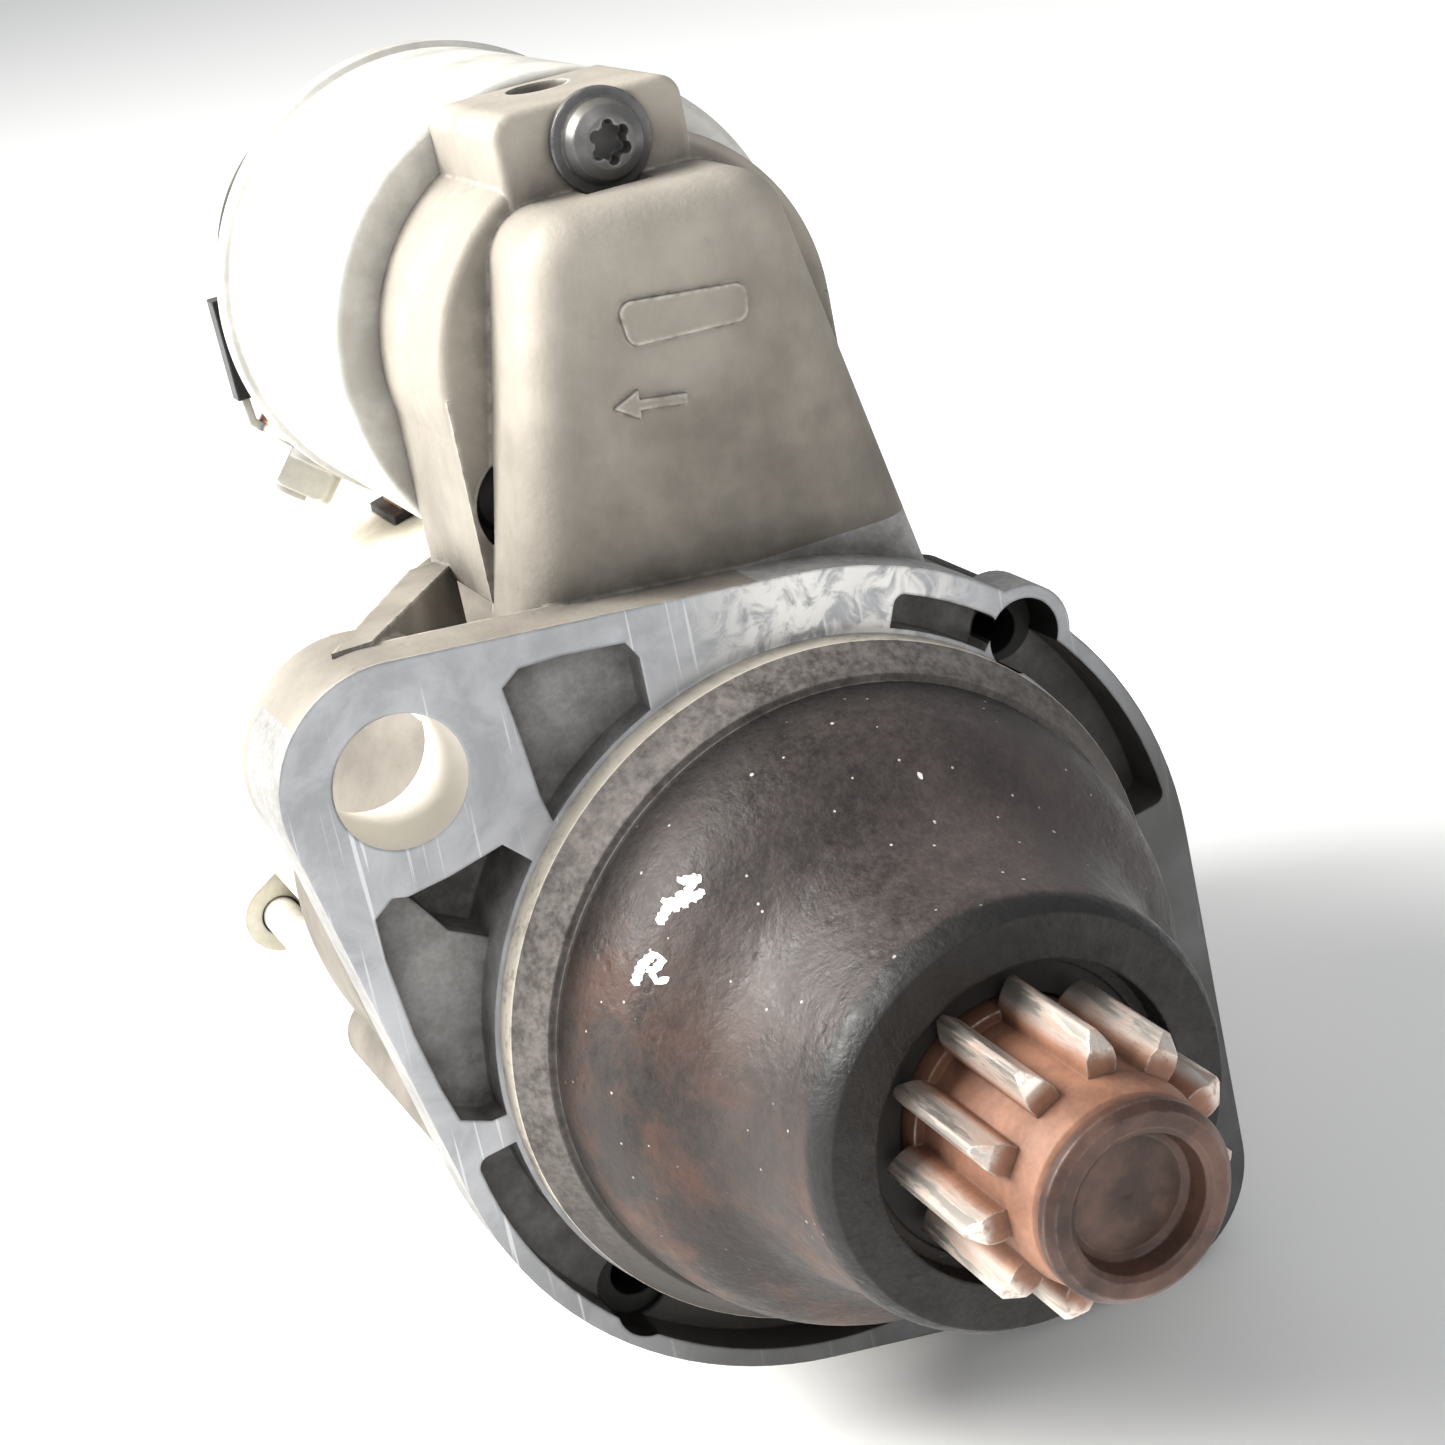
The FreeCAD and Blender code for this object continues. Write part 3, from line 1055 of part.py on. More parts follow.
def motor_lead():
    """Copper strap: an eye on the motor stud, a bend, and a leg down into the yoke."""
    middle = STUD_SEAT_R + LEAD_T / 2.0
    eye = rod(6.4, solenoid_point(STUD_SEAT_R), solenoid_point(STUD_SEAT_R + LEAD_T))
    start, bend = solenoid_point(middle, 4.6), solenoid_point(middle, LEAD_REACH)
    leg = strip([(start.x, start.z), (bend.x, bend.z), (bend.x, YOKE_R - YOKE_WALL - 6.0)], LEAD_T,
                MOTOR_STUD_Y - LEAD_HALF, MOTOR_STUD_Y + LEAD_HALF)
    hole = rod(MOTOR_THREAD_R, solenoid_point(STUD_SEAT_R - 1), solenoid_point(STUD_SEAT_R + LEAD_T + 1))
    return eye.fuse(leg).removeSplitter().cut(hole)


def lead_x():
    return solenoid_point(STUD_SEAT_R + LEAD_T / 2.0, LEAD_REACH).x


def grommet_block(height):
    half = LEAD_T / 2.0 + GROMMET_EDGE
    deep = LEAD_HALF + GROMMET_EDGE
    return block(lead_x() - half, lead_x() + half, MOTOR_STUD_Y - deep, MOTOR_STUD_Y + deep, 20, height)


def lead_grommet():
    """Rubber plug in the yoke's window with a slit for the lead."""
    body = grommet_block(60).common(tube(YOKE_R + 1.0, YOKE_R - YOKE_WALL - 0.6, MOTOR_STUD_Y - 20, MOTOR_STUD_Y + 20))
    slit = block(lead_x() - LEAD_T / 2, lead_x() + LEAD_T / 2, MOTOR_STUD_Y - LEAD_HALF, MOTOR_STUD_Y + LEAD_HALF,
                 0, 60)
    return body.cut(slit)


def link_points():
    start = solenoid_point(STUD_SEAT_R + LEAD_T + LINK_T / 2.0, -4.6)
    bend = solenoid_point(STUD_SEAT_R + LEAD_T + LINK_T / 2.0, -7.4)
    return [(start.x, start.z), (bend.x, bend.z), (-22.7, 53.0), (-22.9, 64.0)]


def link_strap():
    """Tinned strap from the motor stud up to the coil tag."""
    seat = STUD_SEAT_R + LEAD_T
    eye = rod(6.0, solenoid_point(seat), solenoid_point(seat + LINK_T))
    tail = strip(link_points(), LINK_T, MOTOR_STUD_Y - LINK_HALF, MOTOR_STUD_Y + LINK_HALF)
    hole = rod(MOTOR_THREAD_R, solenoid_point(seat - 1), solenoid_point(seat + LINK_T + 1))
    return eye.fuse(tail).removeSplitter().cut(hole)


def strap_sleeve():
    """Insulating sleeve over the upper end of the link strap."""
    low, high = link_points()[-2:]
    along_x, along_z = high[0] - low[0], high[1] - low[1]
    top = (high[0] + along_x * 0.15, high[1] + along_z * 0.15)
    inside = MOTOR_STUD_Y - LINK_HALF, MOTOR_STUD_Y + LINK_HALF
    outer = strip([low, top], LINK_T + 2 * SLEEVE_T, inside[0] - SLEEVE_T, inside[1] + SLEEVE_T)
    return outer.cut(strip([low, high], LINK_T, *inside)).cut(cyl(LINK_T / 2.0, *inside, *low))


def torx_screw(x, z, seat_y, length):
    """Pan-head screw pointing to +Y with a six-lobed socket."""
    front = seat_y - SCREW_HEAD_T
    head = lathe([(0, front), (SCREW_HEAD_R - 1.6, front), (SCREW_HEAD_R - 0.5, front + 0.6),
                  (SCREW_HEAD_R, front + 1.6), (SCREW_HEAD_R, seat_y - 0.9), (SCREW_HEAD_R + 1.1, seat_y - 0.8),
                  (SCREW_HEAD_R + 1.1, seat_y), (0, seat_y)], x, z)
    lobes = [cyl(1.7, front - 1, front + 2.2, x, z)]
    for k in range(6):
        lobe_x, lobe_z = polar(1.65, 60 * k + 30)
        lobes.append(cyl(0.62, front - 1, front + 2.2, x + lobe_x, z + lobe_z))
    shank = cyl(SCREW_R, seat_y - 0.5, seat_y + length, x, z)
    return fuse([head, shank]).cut(fuse(lobes))


def solenoid_screws():
    reach = SEAT_Y + CAN_FRONT_T - 0.4
    return [torx_screw(x, SOLENOID_Z + rise, seat, reach - seat) for x, rise, seat in SOLENOID_SCREWS]


# ---- lever --------------------------------------------------------------------------------

def fork_lever():
    """Lever with a round top end, a hub on the pivot pin and a fork round the collar."""
    half = LEVER_HUB_HALF
    y = PIVOT_Y
    thick = LEVER_T / 2.0
    ring_in = COLLAR_R + 0.9
    ring_out = ring_in + FORK_RING_T
    arch = tube(ring_out, ring_in, y - thick, y + thick).cut(block(-40, 40, 0, 80, -60, -PAD_PIN_R - 0.8))
    arm = prism([(-half + 1, ring_in + 1), (half - 1, ring_in + 1), (half - 1, PIVOT_Z), (LEVER_TOP_HALF, PIVOT_Z + 12),
                 (LEVER_TOP_HALF, SOLENOID_Z), (-LEVER_TOP_HALF, SOLENOID_Z), (-LEVER_TOP_HALF, PIVOT_Z + 12),
                 (-half + 1, PIVOT_Z)], y - thick + 0.6, y + thick - 0.6)
    arm = arm.cut(cyl(ring_in, 0, 60))
    hub = Part.makeCylinder(PIVOT_PIN_R + 2.6, 2 * half, vec(-half, y, PIVOT_Z), vec(1, 0, 0))
    top = Part.makeCylinder(HOOK_END_R, 2 * LEVER_TOP_HALF, vec(-LEVER_TOP_HALF, y, SOLENOID_Z), vec(1, 0, 0))
    pieces = [arch, arm, hub, top]
    for side in (-1, 1):
        near, far = side * (COLLAR_ROOT_R + 0.6), side * (ring_out - 0.5)
        pieces.append(Part.makeCylinder(PAD_PIN_R, abs(far - near), vec(near, y, 0), vec(side, 0, 0)))
    lever = fuse(pieces)
    bore = Part.makeCylinder(PIVOT_PIN_R + RUN, 4 * half, vec(-2 * half, y, PIVOT_Z), vec(1, 0, 0))
    lever = lever.cut(bore)
    lever.rotate(vec(0, y, PIVOT_Z), vec(1, 0, 0), LEVER_REST)
    return lever


def lever_pin():
    return Part.makeCylinder(PIVOT_PIN_R, 2 * CORE_HALF, vec(-CORE_HALF, PIVOT_Y, PIVOT_Z), vec(1, 0, 0))


BUILDERS = {
    "drive_housing": drive_housing, "nose_seal": nose_seal, "nose_bearing": nose_bearing, "lever_pin": lever_pin,
    "bearing_plate": bearing_plate, "output_bush": output_bush, "ring_gear": ring_gear, "gear_guard": gear_guard,
    "yoke": yoke, "magnets": magnets, "brush_plate": brush_plate, "brush_boxes": brush_boxes,
    "brush_springs": brush_springs, "rear_cover": rear_cover, "rear_bush": rear_bush, "through_bolts": through_bolts,
    "lead_grommet": lead_grommet, "motor_lead": motor_lead, "link_strap": link_strap, "strap_sleeve": strap_sleeve,
    "solenoid_can": solenoid_can, "plunger_guide": plunger_guide, "coil_bobbin": coil_bobbin,
    "solenoid_winding": solenoid_winding, "solenoid_core": solenoid_core, "solenoid_cap": solenoid_cap,
    "battery_stud": battery_stud, "motor_stud": motor_stud, "terminal_nut": terminal_nut,
    "solenoid_screws": solenoid_screws, "plunger": plunger, "hook_rod": hook_rod, "plunger_spring": plunger_spring,
    "contact_rod": contact_rod, "contact_disc": contact_disc, "contact_collar": contact_collar,
    "fork_lever": fork_lever, "armature_shaft": armature_shaft, "sun_gear": sun_gear, "laminations": laminations,
    "windings": windings, "commutator": commutator, "commutator_hub": commutator_hub, "output_shaft": output_shaft,
    "planet_pins": planet_pins, "pilot_bush": pilot_bush, "clutch_shell": clutch_shell,
    "clutch_rollers": clutch_rollers, "clutch_springs": clutch_springs, "clutch_cover": clutch_cover,
    "pinion": pinion, "pinion_cap": pinion_cap, "pinion_bushes": pinion_bushes,
}


def main():
    os.makedirs("parts", exist_ok=True)
    for name, build in BUILDERS.items():
        save(name, build())
    for index in range(PLANETS):
        save("planet_gear_%d" % (index + 1), planet(index))
    for index, angle in enumerate(BRUSH_ANGLES):
        save("brush_%d" % (index + 1), brush(angle))


main()
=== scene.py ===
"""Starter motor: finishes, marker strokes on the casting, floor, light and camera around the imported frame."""
import json
import logging
from dataclasses import dataclass

import bpy
import numpy as np
from mathutils import Matrix, Vector
from mathutils.bvhtree import BVHTree


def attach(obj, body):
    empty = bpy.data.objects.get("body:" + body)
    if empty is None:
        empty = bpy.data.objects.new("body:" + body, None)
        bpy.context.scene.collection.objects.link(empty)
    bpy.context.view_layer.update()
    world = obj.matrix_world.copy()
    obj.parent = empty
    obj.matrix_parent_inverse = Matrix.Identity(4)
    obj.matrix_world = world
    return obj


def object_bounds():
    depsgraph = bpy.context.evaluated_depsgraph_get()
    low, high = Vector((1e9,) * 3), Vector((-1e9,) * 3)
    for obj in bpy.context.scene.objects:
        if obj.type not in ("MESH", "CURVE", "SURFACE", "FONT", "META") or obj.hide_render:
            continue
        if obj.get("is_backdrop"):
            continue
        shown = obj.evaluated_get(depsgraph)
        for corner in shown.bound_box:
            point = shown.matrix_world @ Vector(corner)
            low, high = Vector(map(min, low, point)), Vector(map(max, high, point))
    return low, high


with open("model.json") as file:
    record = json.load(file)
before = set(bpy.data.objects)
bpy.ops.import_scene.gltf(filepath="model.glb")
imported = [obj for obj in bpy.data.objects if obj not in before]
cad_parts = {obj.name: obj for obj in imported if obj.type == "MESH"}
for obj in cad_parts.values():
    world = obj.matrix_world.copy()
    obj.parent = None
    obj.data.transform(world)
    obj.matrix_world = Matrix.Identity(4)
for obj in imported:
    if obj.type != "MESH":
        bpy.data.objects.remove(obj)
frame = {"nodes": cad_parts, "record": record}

logging.basicConfig(level=logging.INFO, format="%(message)s")
LOG = logging.getLogger("starter")
MM = 0.001
COVERED_ROUGH = 0.85
NEAR_PLANE = 0.00003

Colour = tuple[float, float, float]
Stroke = tuple[tuple[float, float], ...]
Socket = bpy.types.NodeSocket


def rgba(colour: Colour) -> tuple[float, float, float, float]:
    """Colour with full alpha."""
    return (*colour, 1.0)


class Graph:
    """Short hand for building a node tree.

    Args:
        tree: the node tree to build in.
    """

    def __init__(self, tree: bpy.types.NodeTree) -> None:
        """Keep the tree and lay nodes out in a row."""
        self.tree = tree
        self.count = 0

    def node(self, kind: str, sockets: dict | None = None, **settings) -> bpy.types.Node:
        """Add a node.

        Args:
            kind: node type name.
            sockets: input values or sockets to link, by input name or index.
            settings: attributes to set on the node.

        Returns:
            The new node.
        """
        made = self.tree.nodes.new(kind)
        made.location = (180 * (self.count % 12), -260 * (self.count // 12))
        self.count += 1
        for name, value in settings.items():
            setattr(made, name, value)
        for name, value in (sockets or {}).items():
            self.feed(made.inputs[name], value)
        return made

    def feed(self, socket: Socket, value: object) -> None:
        """Link a socket into an input, or set the input's own value."""
        if isinstance(value, Socket):
            self.tree.links.new(value, socket)
        elif isinstance(value, tuple) and len(value) == 3 and socket.type == "RGBA":
            socket.default_value = rgba(value)
        else:
            socket.default_value = value

    def math(self, kind: str, a: object, b: object = 0.0, clamp: bool = False) -> Socket:
        """One arithmetic step; returns its value."""
        return self.node("ShaderNodeMath", {0: a, 1: b}, operation=kind, use_clamp=clamp).outputs[0]

    def remap(self, value: object, low: float, high: float, to_low: float = 0.0, to_high: float = 1.0,
              smooth: bool = True) -> Socket:
        """Value between low and high carried to a new range, clamped."""
        kind = "SMOOTHSTEP" if smooth else "LINEAR"
        sockets = {"Value": value, "From Min": low, "From Max": high, "To Min": to_low, "To Max": to_high}
        return self.node("ShaderNodeMapRange", sockets, interpolation_type=kind).outputs[0]

    def mix(self, factor: object, a: object, b: object, blend: str = "MIX") -> Socket:
        """Two colours mixed by a factor; returns the colour."""
        made = self.node("ShaderNodeMix", data_type="RGBA", blend_type=blend)
        self.feed(made.inputs["Factor"], factor)
        self.feed(made.inputs[6], a)
        self.feed(made.inputs[7], b)
        return made.outputs[2]

    def blend(self, factor: object, a: object, b: object) -> Socket:
        """Two numbers mixed by a factor; returns the number."""
        made = self.node("ShaderNodeMix", data_type="FLOAT")
        self.feed(made.inputs["Factor"], factor)
        self.feed(made.inputs[2], a)
        self.feed(made.inputs[3], b)
        return made.outputs[0]

    def noise(self, vector: object, scale: float, detail: float = 4.0, rough: float = 0.55,
              twist: float = 0.0) -> Socket:
        """Fractal noise from 0 to 1."""
        sockets = {"Vector": vector, "Scale": scale, "Detail": detail, "Roughness": rough,
                   "Distortion": twist}
        return self.node("ShaderNodeTexNoise", sockets).outputs[0]

    def cells(self, vector: object, scale: float) -> bpy.types.Node:
        """Cell pattern with its distance and random colour."""
        return self.node("ShaderNodeTexVoronoi", {"Vector": vector, "Scale": scale, "Randomness": 1.0})

    def lean(self, a: object, b: object, share: float) -> Socket:
        """The value a less a share of b."""
        return self.math("SUBTRACT", a, self.math("MULTIPLY", b, share))

    def under(self, value: object, edge: float) -> Socket:
        """1 where the value is below the edge, 0 elsewhere."""
        return self.math("LESS_THAN", value, edge)

    def above(self, value: object, edge: float) -> Socket:
        """1 where the value is over the edge, 0 elsewhere."""
        return self.math("GREATER_THAN", value, edge)

    def both(self, *masks: Socket) -> Socket:
        """Product of masks."""
        found = masks[0]
        for mask in masks[1:]:
            found = self.math("MULTIPLY", found, mask)
        return found

    def reach(self, a: object, b: object, a0: float = 0.0, b0: float = 0.0) -> Socket:
        """Distance in a plane from the point (a0, b0)."""
        side, rise = self.math("SUBTRACT", a, a0), self.math("SUBTRACT", b, b0)
        total = self.math("ADD", self.math("MULTIPLY", side, side), self.math("MULTIPLY", rise, rise))
        return self.math("SQRT", total)

    def place(self) -> Socket:
        """Object coordinates in metres."""
        return self.node("ShaderNodeTexCoord").outputs["Object"]

    def stretch(self, vector: object, scale: tuple[float, float, float], turn: tuple[float, float, float] =
                (0.0, 0.0, 0.0)) -> Socket:
        """Coordinates turned and scaled, for grain that runs one way."""
        return self.node("ShaderNodeMapping", {"Vector": vector, "Scale": scale, "Rotation": turn}).outputs[0]

    def split(self, vector: object) -> tuple[Socket, Socket, Socket]:
        """The three parts of a vector."""
        made = self.node("ShaderNodeSeparateXYZ", {0: vector})
        return made.outputs[0], made.outputs[1], made.outputs[2]

    def use(self, group: bpy.types.NodeTree, sockets: dict | None = None) -> bpy.types.Node:
        """Place a node group and feed its inputs."""
        made = self.node("ShaderNodeGroup", node_tree=group)
        for name, value in (sockets or {}).items():
            self.feed(made.inputs[name], value)
        return made


def new_group(name: str, inputs: dict[str, float],
              outputs: list[str]) -> tuple[Graph, bpy.types.Node, bpy.types.Node]:
    """Start a shader node group.

    Args:
        name: name of the group.
        inputs: float inputs with their defaults.
        outputs: float outputs.

    Returns:
        The graph, its input node and its output node.
    """
    tree = bpy.data.node_groups.new(name, "ShaderNodeTree")
    for label, value in inputs.items():
        socket = tree.interface.new_socket(name=label, in_out="INPUT", socket_type="NodeSocketFloat")
        socket.default_value = value
    for label in outputs:
        tree.interface.new_socket(name=label, in_out="OUTPUT", socket_type="NodeSocketFloat")
    graph = Graph(tree)
    return graph, graph.node("NodeGroupInput"), graph.node("NodeGroupOutput")


class Effects:
    """Node groups that several finishes share, each built once."""

    def __init__(self) -> None:
        """Build every group."""
        self.sand = self.build_sand()
        self.wear = self.build_wear()
        self.dirt_and_shade = self.build_dirt_and_shade()
        self.dust_and_top_light = self.build_dust_and_top_light()
        self.scratch = self.build_scratch()
        self.specks = self.build_specks()

    def build_sand(self) -> bpy.types.NodeTree:
        """Sand-cast skin: fine grain, broad mottling and small pits."""
        graph, source, sink = new_group("sand_cast_skin", {"Scale": 1.0}, ["Mottle", "Grain", "Pits"])
        place = graph.node("ShaderNodeVectorMath", {0: graph.place()}, operation="SCALE")
        graph.feed(place.inputs["Scale"], source.outputs["Scale"])
        where = place.outputs[0]
        graph.feed(sink.inputs["Mottle"], graph.noise(where, 90.0, 5.0, 0.6))
        fine = graph.noise(where, 1500.0, 3.0, 0.65)
        middle = graph.noise(where, 520.0, 3.0, 0.6)
        graph.feed(sink.inputs["Grain"], graph.math("MULTIPLY", graph.math("ADD", fine, middle), 0.5))
        cells = graph.cells(where, 420.0).outputs["Distance"]
        patchy = graph.remap(graph.noise(where, 160.0, 2.0), 0.52, 0.66)
        pits = graph.math("MULTIPLY", graph.remap(cells, 0.05, 0.28, 1.0, 0.0), patchy)
        graph.feed(sink.inputs["Pits"], pits)
        return graph.tree

    def build_wear(self) -> bpy.types.NodeTree:
        """Mask of rubbed edges: where a rounded normal leaves the true one, broken up by noise."""
        graph, source, sink = new_group("edge_wear", {"Radius": 0.0006, "Amount": 1.0}, ["Mask"])
        bevel = graph.node("ShaderNodeBevel", {"Radius": source.outputs["Radius"]}, samples=6)
        normal = graph.node("ShaderNodeNewGeometry").outputs["Normal"]
        turned = graph.node("ShaderNodeVectorMath", {0: bevel.outputs[0], 1: normal}, operation="DOT_PRODUCT")
        lean = graph.math("SUBTRACT", 1.0, turned.outputs["Value"])
        broken = graph.noise(graph.place(), 700.0, 4.0, 0.6)
        mask = graph.math("MULTIPLY", graph.remap(lean, 0.01, 0.12), graph.remap(broken, 0.32, 0.62))
        graph.feed(sink.inputs["Mask"], graph.math("MULTIPLY", mask, source.outputs["Amount"], clamp=True))
        return graph.tree

    def build_dirt_and_shade(self) -> bpy.types.NodeTree:
        """Mask of grime with painted shade in corners and recesses, found by ambient occlusion."""
        graph, source, sink = new_group("corner_dirt_and_shade", {"Distance": 0.006, "Amount": 1.0}, ["Mask"])
        shade = graph.node("ShaderNodeAmbientOcclusion", {"Distance": source.outputs["Distance"]}, samples=8)
        cloudy = graph.noise(graph.place(), 240.0, 4.0, 0.6)
        closed = graph.remap(shade.outputs["AO"], 0.45, 0.95, 1.0, 0.0)
        mask = graph.math("MULTIPLY", closed, graph.remap(cloudy, 0.2, 0.7, 0.45, 1.0))
        graph.feed(sink.inputs["Mask"], graph.math("MULTIPLY", mask, source.outputs["Amount"], clamp=True))
        return graph.tree

    def build_dust_and_top_light(self) -> bpy.types.NodeTree:
        """Mask of dust with painted light on faces that look up."""
        graph, source, sink = new_group("settled_dust_and_top_light", {"Amount": 1.0, "Scale": 1.0}, ["Mask"])
        normal = graph.node("ShaderNodeNewGeometry").outputs["Normal"]
        up = graph.split(normal)[2]
        place = graph.node("ShaderNodeVectorMath", {0: graph.place()}, operation="SCALE")
        graph.feed(place.inputs["Scale"], source.outputs["Scale"])
        cloud = graph.noise(place.outputs[0], 130.0, 6.0, 0.65)
        mask = graph.math("MULTIPLY", graph.remap(up, 0.1, 0.9), graph.remap(cloud, 0.35, 0.65, 0.3, 1.0))
        graph.feed(sink.inputs["Mask"], graph.math("MULTIPLY", mask, source.outputs["Amount"], clamp=True))
        return graph.tree

    def build_scratch(self) -> bpy.types.NodeTree:
        """Mask of fine scratches in two slanting directions across the XZ plane."""
        graph, source, sink = new_group("scratches", {"Amount": 1.0}, ["Mask"])
        where = graph.place()
        found = None
        for turn, scale, edge in ((0.65, 1500.0, 0.70), (1.05, 900.0, 0.72), (2.3, 1200.0, 0.74)):
            along = graph.stretch(where, (scale, 1.0, scale * 0.03), (0.0, turn, 0.0))
            line = graph.remap(graph.noise(along, 1.0, 2.0, 0.5), edge - 0.06, edge)
            found = line if found is None else graph.math("MAXIMUM", found, line)
        graph.feed(sink.inputs["Mask"], graph.math("MULTIPLY", found, source.outputs["Amount"], clamp=True))
        return graph.tree


    def build_specks(self) -> bpy.types.NodeTree:
        """Mask of scattered light specks of grit."""
        graph, source, sink = new_group("grit_specks", {"Amount": 1.0}, ["Mask"])
        found = None
        for scale, size in ((330.0, 0.085), (620.0, 0.11)):
            cells = graph.cells(graph.place(), scale)
            chosen = graph.above(graph.split(cells.outputs["Color"])[0], 0.72)
            spot = graph.both(graph.remap(cells.outputs["Distance"], size * 0.5, size, 1.0, 0.0), chosen)
            found = spot if found is None else graph.math("MAXIMUM", found, spot)
        graph.feed(sink.inputs["Mask"], graph.math("MULTIPLY", found, source.outputs["Amount"], clamp=True))
        return graph.tree


@dataclass(frozen=True)
class Finish:
    """A surface finish made of two mottled tones, grain, edge wear, corner grime with painted shade and settled
    dust with painted light on faces that look up.

    Sizes are in metres, colours are linear.
    """

    name: str
    dark: Colour
    light: Colour
    metallic: float = 0.0
    rough: tuple[float, float] = (0.4, 0.6)
    grain: float = 0.00004
    scale: float = 1.0
    worn: Colour = (0.6, 0.6, 0.6)
    wear: float = 0.4
    round_edge: float = 0.0004
    # grime colour also paints shade into corners; dust colour also paints light on faces that look up
    grime_and_shade: Colour = (0.03, 0.025, 0.02)
    grime_and_shade_amount: float = 0.5
    dust_and_top_light: Colour = (0.5, 0.45, 0.36)
    dust_and_top_light_amount: float = 0.2
    brushed: tuple[float, float, float] | None = None
    coat: float = 0.0

    def build(self, effects: Effects) -> bpy.types.Material:
        """Make the material.

        Args:
            effects: the shared node groups.

        Returns:
            The finished material.
        """
        material, graph = self.start()
        sand = graph.use(effects.sand, {"Scale": self.scale})
        wear = graph.use(effects.wear, {"Radius": self.round_edge * 1.5, "Amount": self.wear}).outputs["Mask"]
        dirt_and_shade = graph.use(effects.dirt_and_shade, {"Amount": self.grime_and_shade_amount}).outputs["Mask"]
        dust_and_top_light = graph.use(effects.dust_and_top_light, {"Amount": self.dust_and_top_light_amount, "Scale": self.scale}).outputs["Mask"]
        mottle = graph.remap(sand.outputs["Mottle"], 0.32, 0.68)
        colour = graph.mix(mottle, self.dark, self.light)
        colour = graph.mix(graph.remap(sand.outputs["Grain"], 0.35, 0.65, 0.25, 0.0), colour, self.dark)
        rough = graph.blend(mottle, self.rough[1], self.rough[0])
        height = graph.math("MULTIPLY", sand.outputs["Grain"], self.grain)
        if self.brushed:
            lines = graph.noise(graph.stretch(graph.place(), self.brushed), 1.0, 3.0, 0.6)
            colour = graph.mix(graph.remap(lines, 0.35, 0.65, 0.35, 0.0), colour, self.dark)
            height = graph.math("ADD", height, graph.math("MULTIPLY", lines, self.grain * 0.5))
        colour = graph.mix(wear, colour, self.worn)
        rough = graph.blend(wear, rough, self.rough[0] * 0.8)
        # grime with painted shade in corners, then dust with painted light on faces that look up
        colour = graph.mix(dirt_and_shade, colour, self.grime_and_shade)
        colour = graph.mix(dust_and_top_light, colour, self.dust_and_top_light)
        cover = graph.math("MAXIMUM", dirt_and_shade, dust_and_top_light)
        metal = graph.math("MULTIPLY", graph.math("SUBTRACT", 1.0, cover), self.metallic)
        rough = graph.blend(cover, rough, COVERED_ROUGH)
        self.finish(graph, colour, rough, metal, height)
        return material

    def start(self) -> tuple[bpy.types.Material, Graph]:
        """New material with an empty node tree."""
        material = bpy.data.materials.new(self.name)
        material.use_nodes = True
        material.node_tree.nodes.clear()
        return material, Graph(material.node_tree)

    def finish(self, graph: Graph, colour: object, rough: object, metal: object, height: object) -> None:
        """Close the tree with rounded edges, bump and the shader.

        Args:
            graph: the material's graph.
            colour: base colour socket.
            rough: roughness socket.
            metal: metallic socket or number.
            height: bump height in metres.
        """
        edge = graph.node("ShaderNodeBevel", {"Radius": self.round_edge}, samples=6).outputs[0]
        bump = graph.node("ShaderNodeBump", {
            "Strength": 1.0, "Distance": 1.0, "Height": height, "Normal": edge})
        shader = graph.node("ShaderNodeBsdfPrincipled", {
            "Base Color": colour, "Roughness": rough, "Metallic": metal, "Normal": bump.outputs[0]})
        shader.inputs["Coat Weight"].default_value = self.coat
        out = graph.node("ShaderNodeOutputMaterial")
        graph.feed(out.inputs["Surface"], shader.outputs[0])


@dataclass(frozen=True)
class Tone:
    """Two colours that mottle into each other, with how rough and how metallic they are."""

    dark: Colour
    light: Colour
    rough: float
    metal: float = 0.0


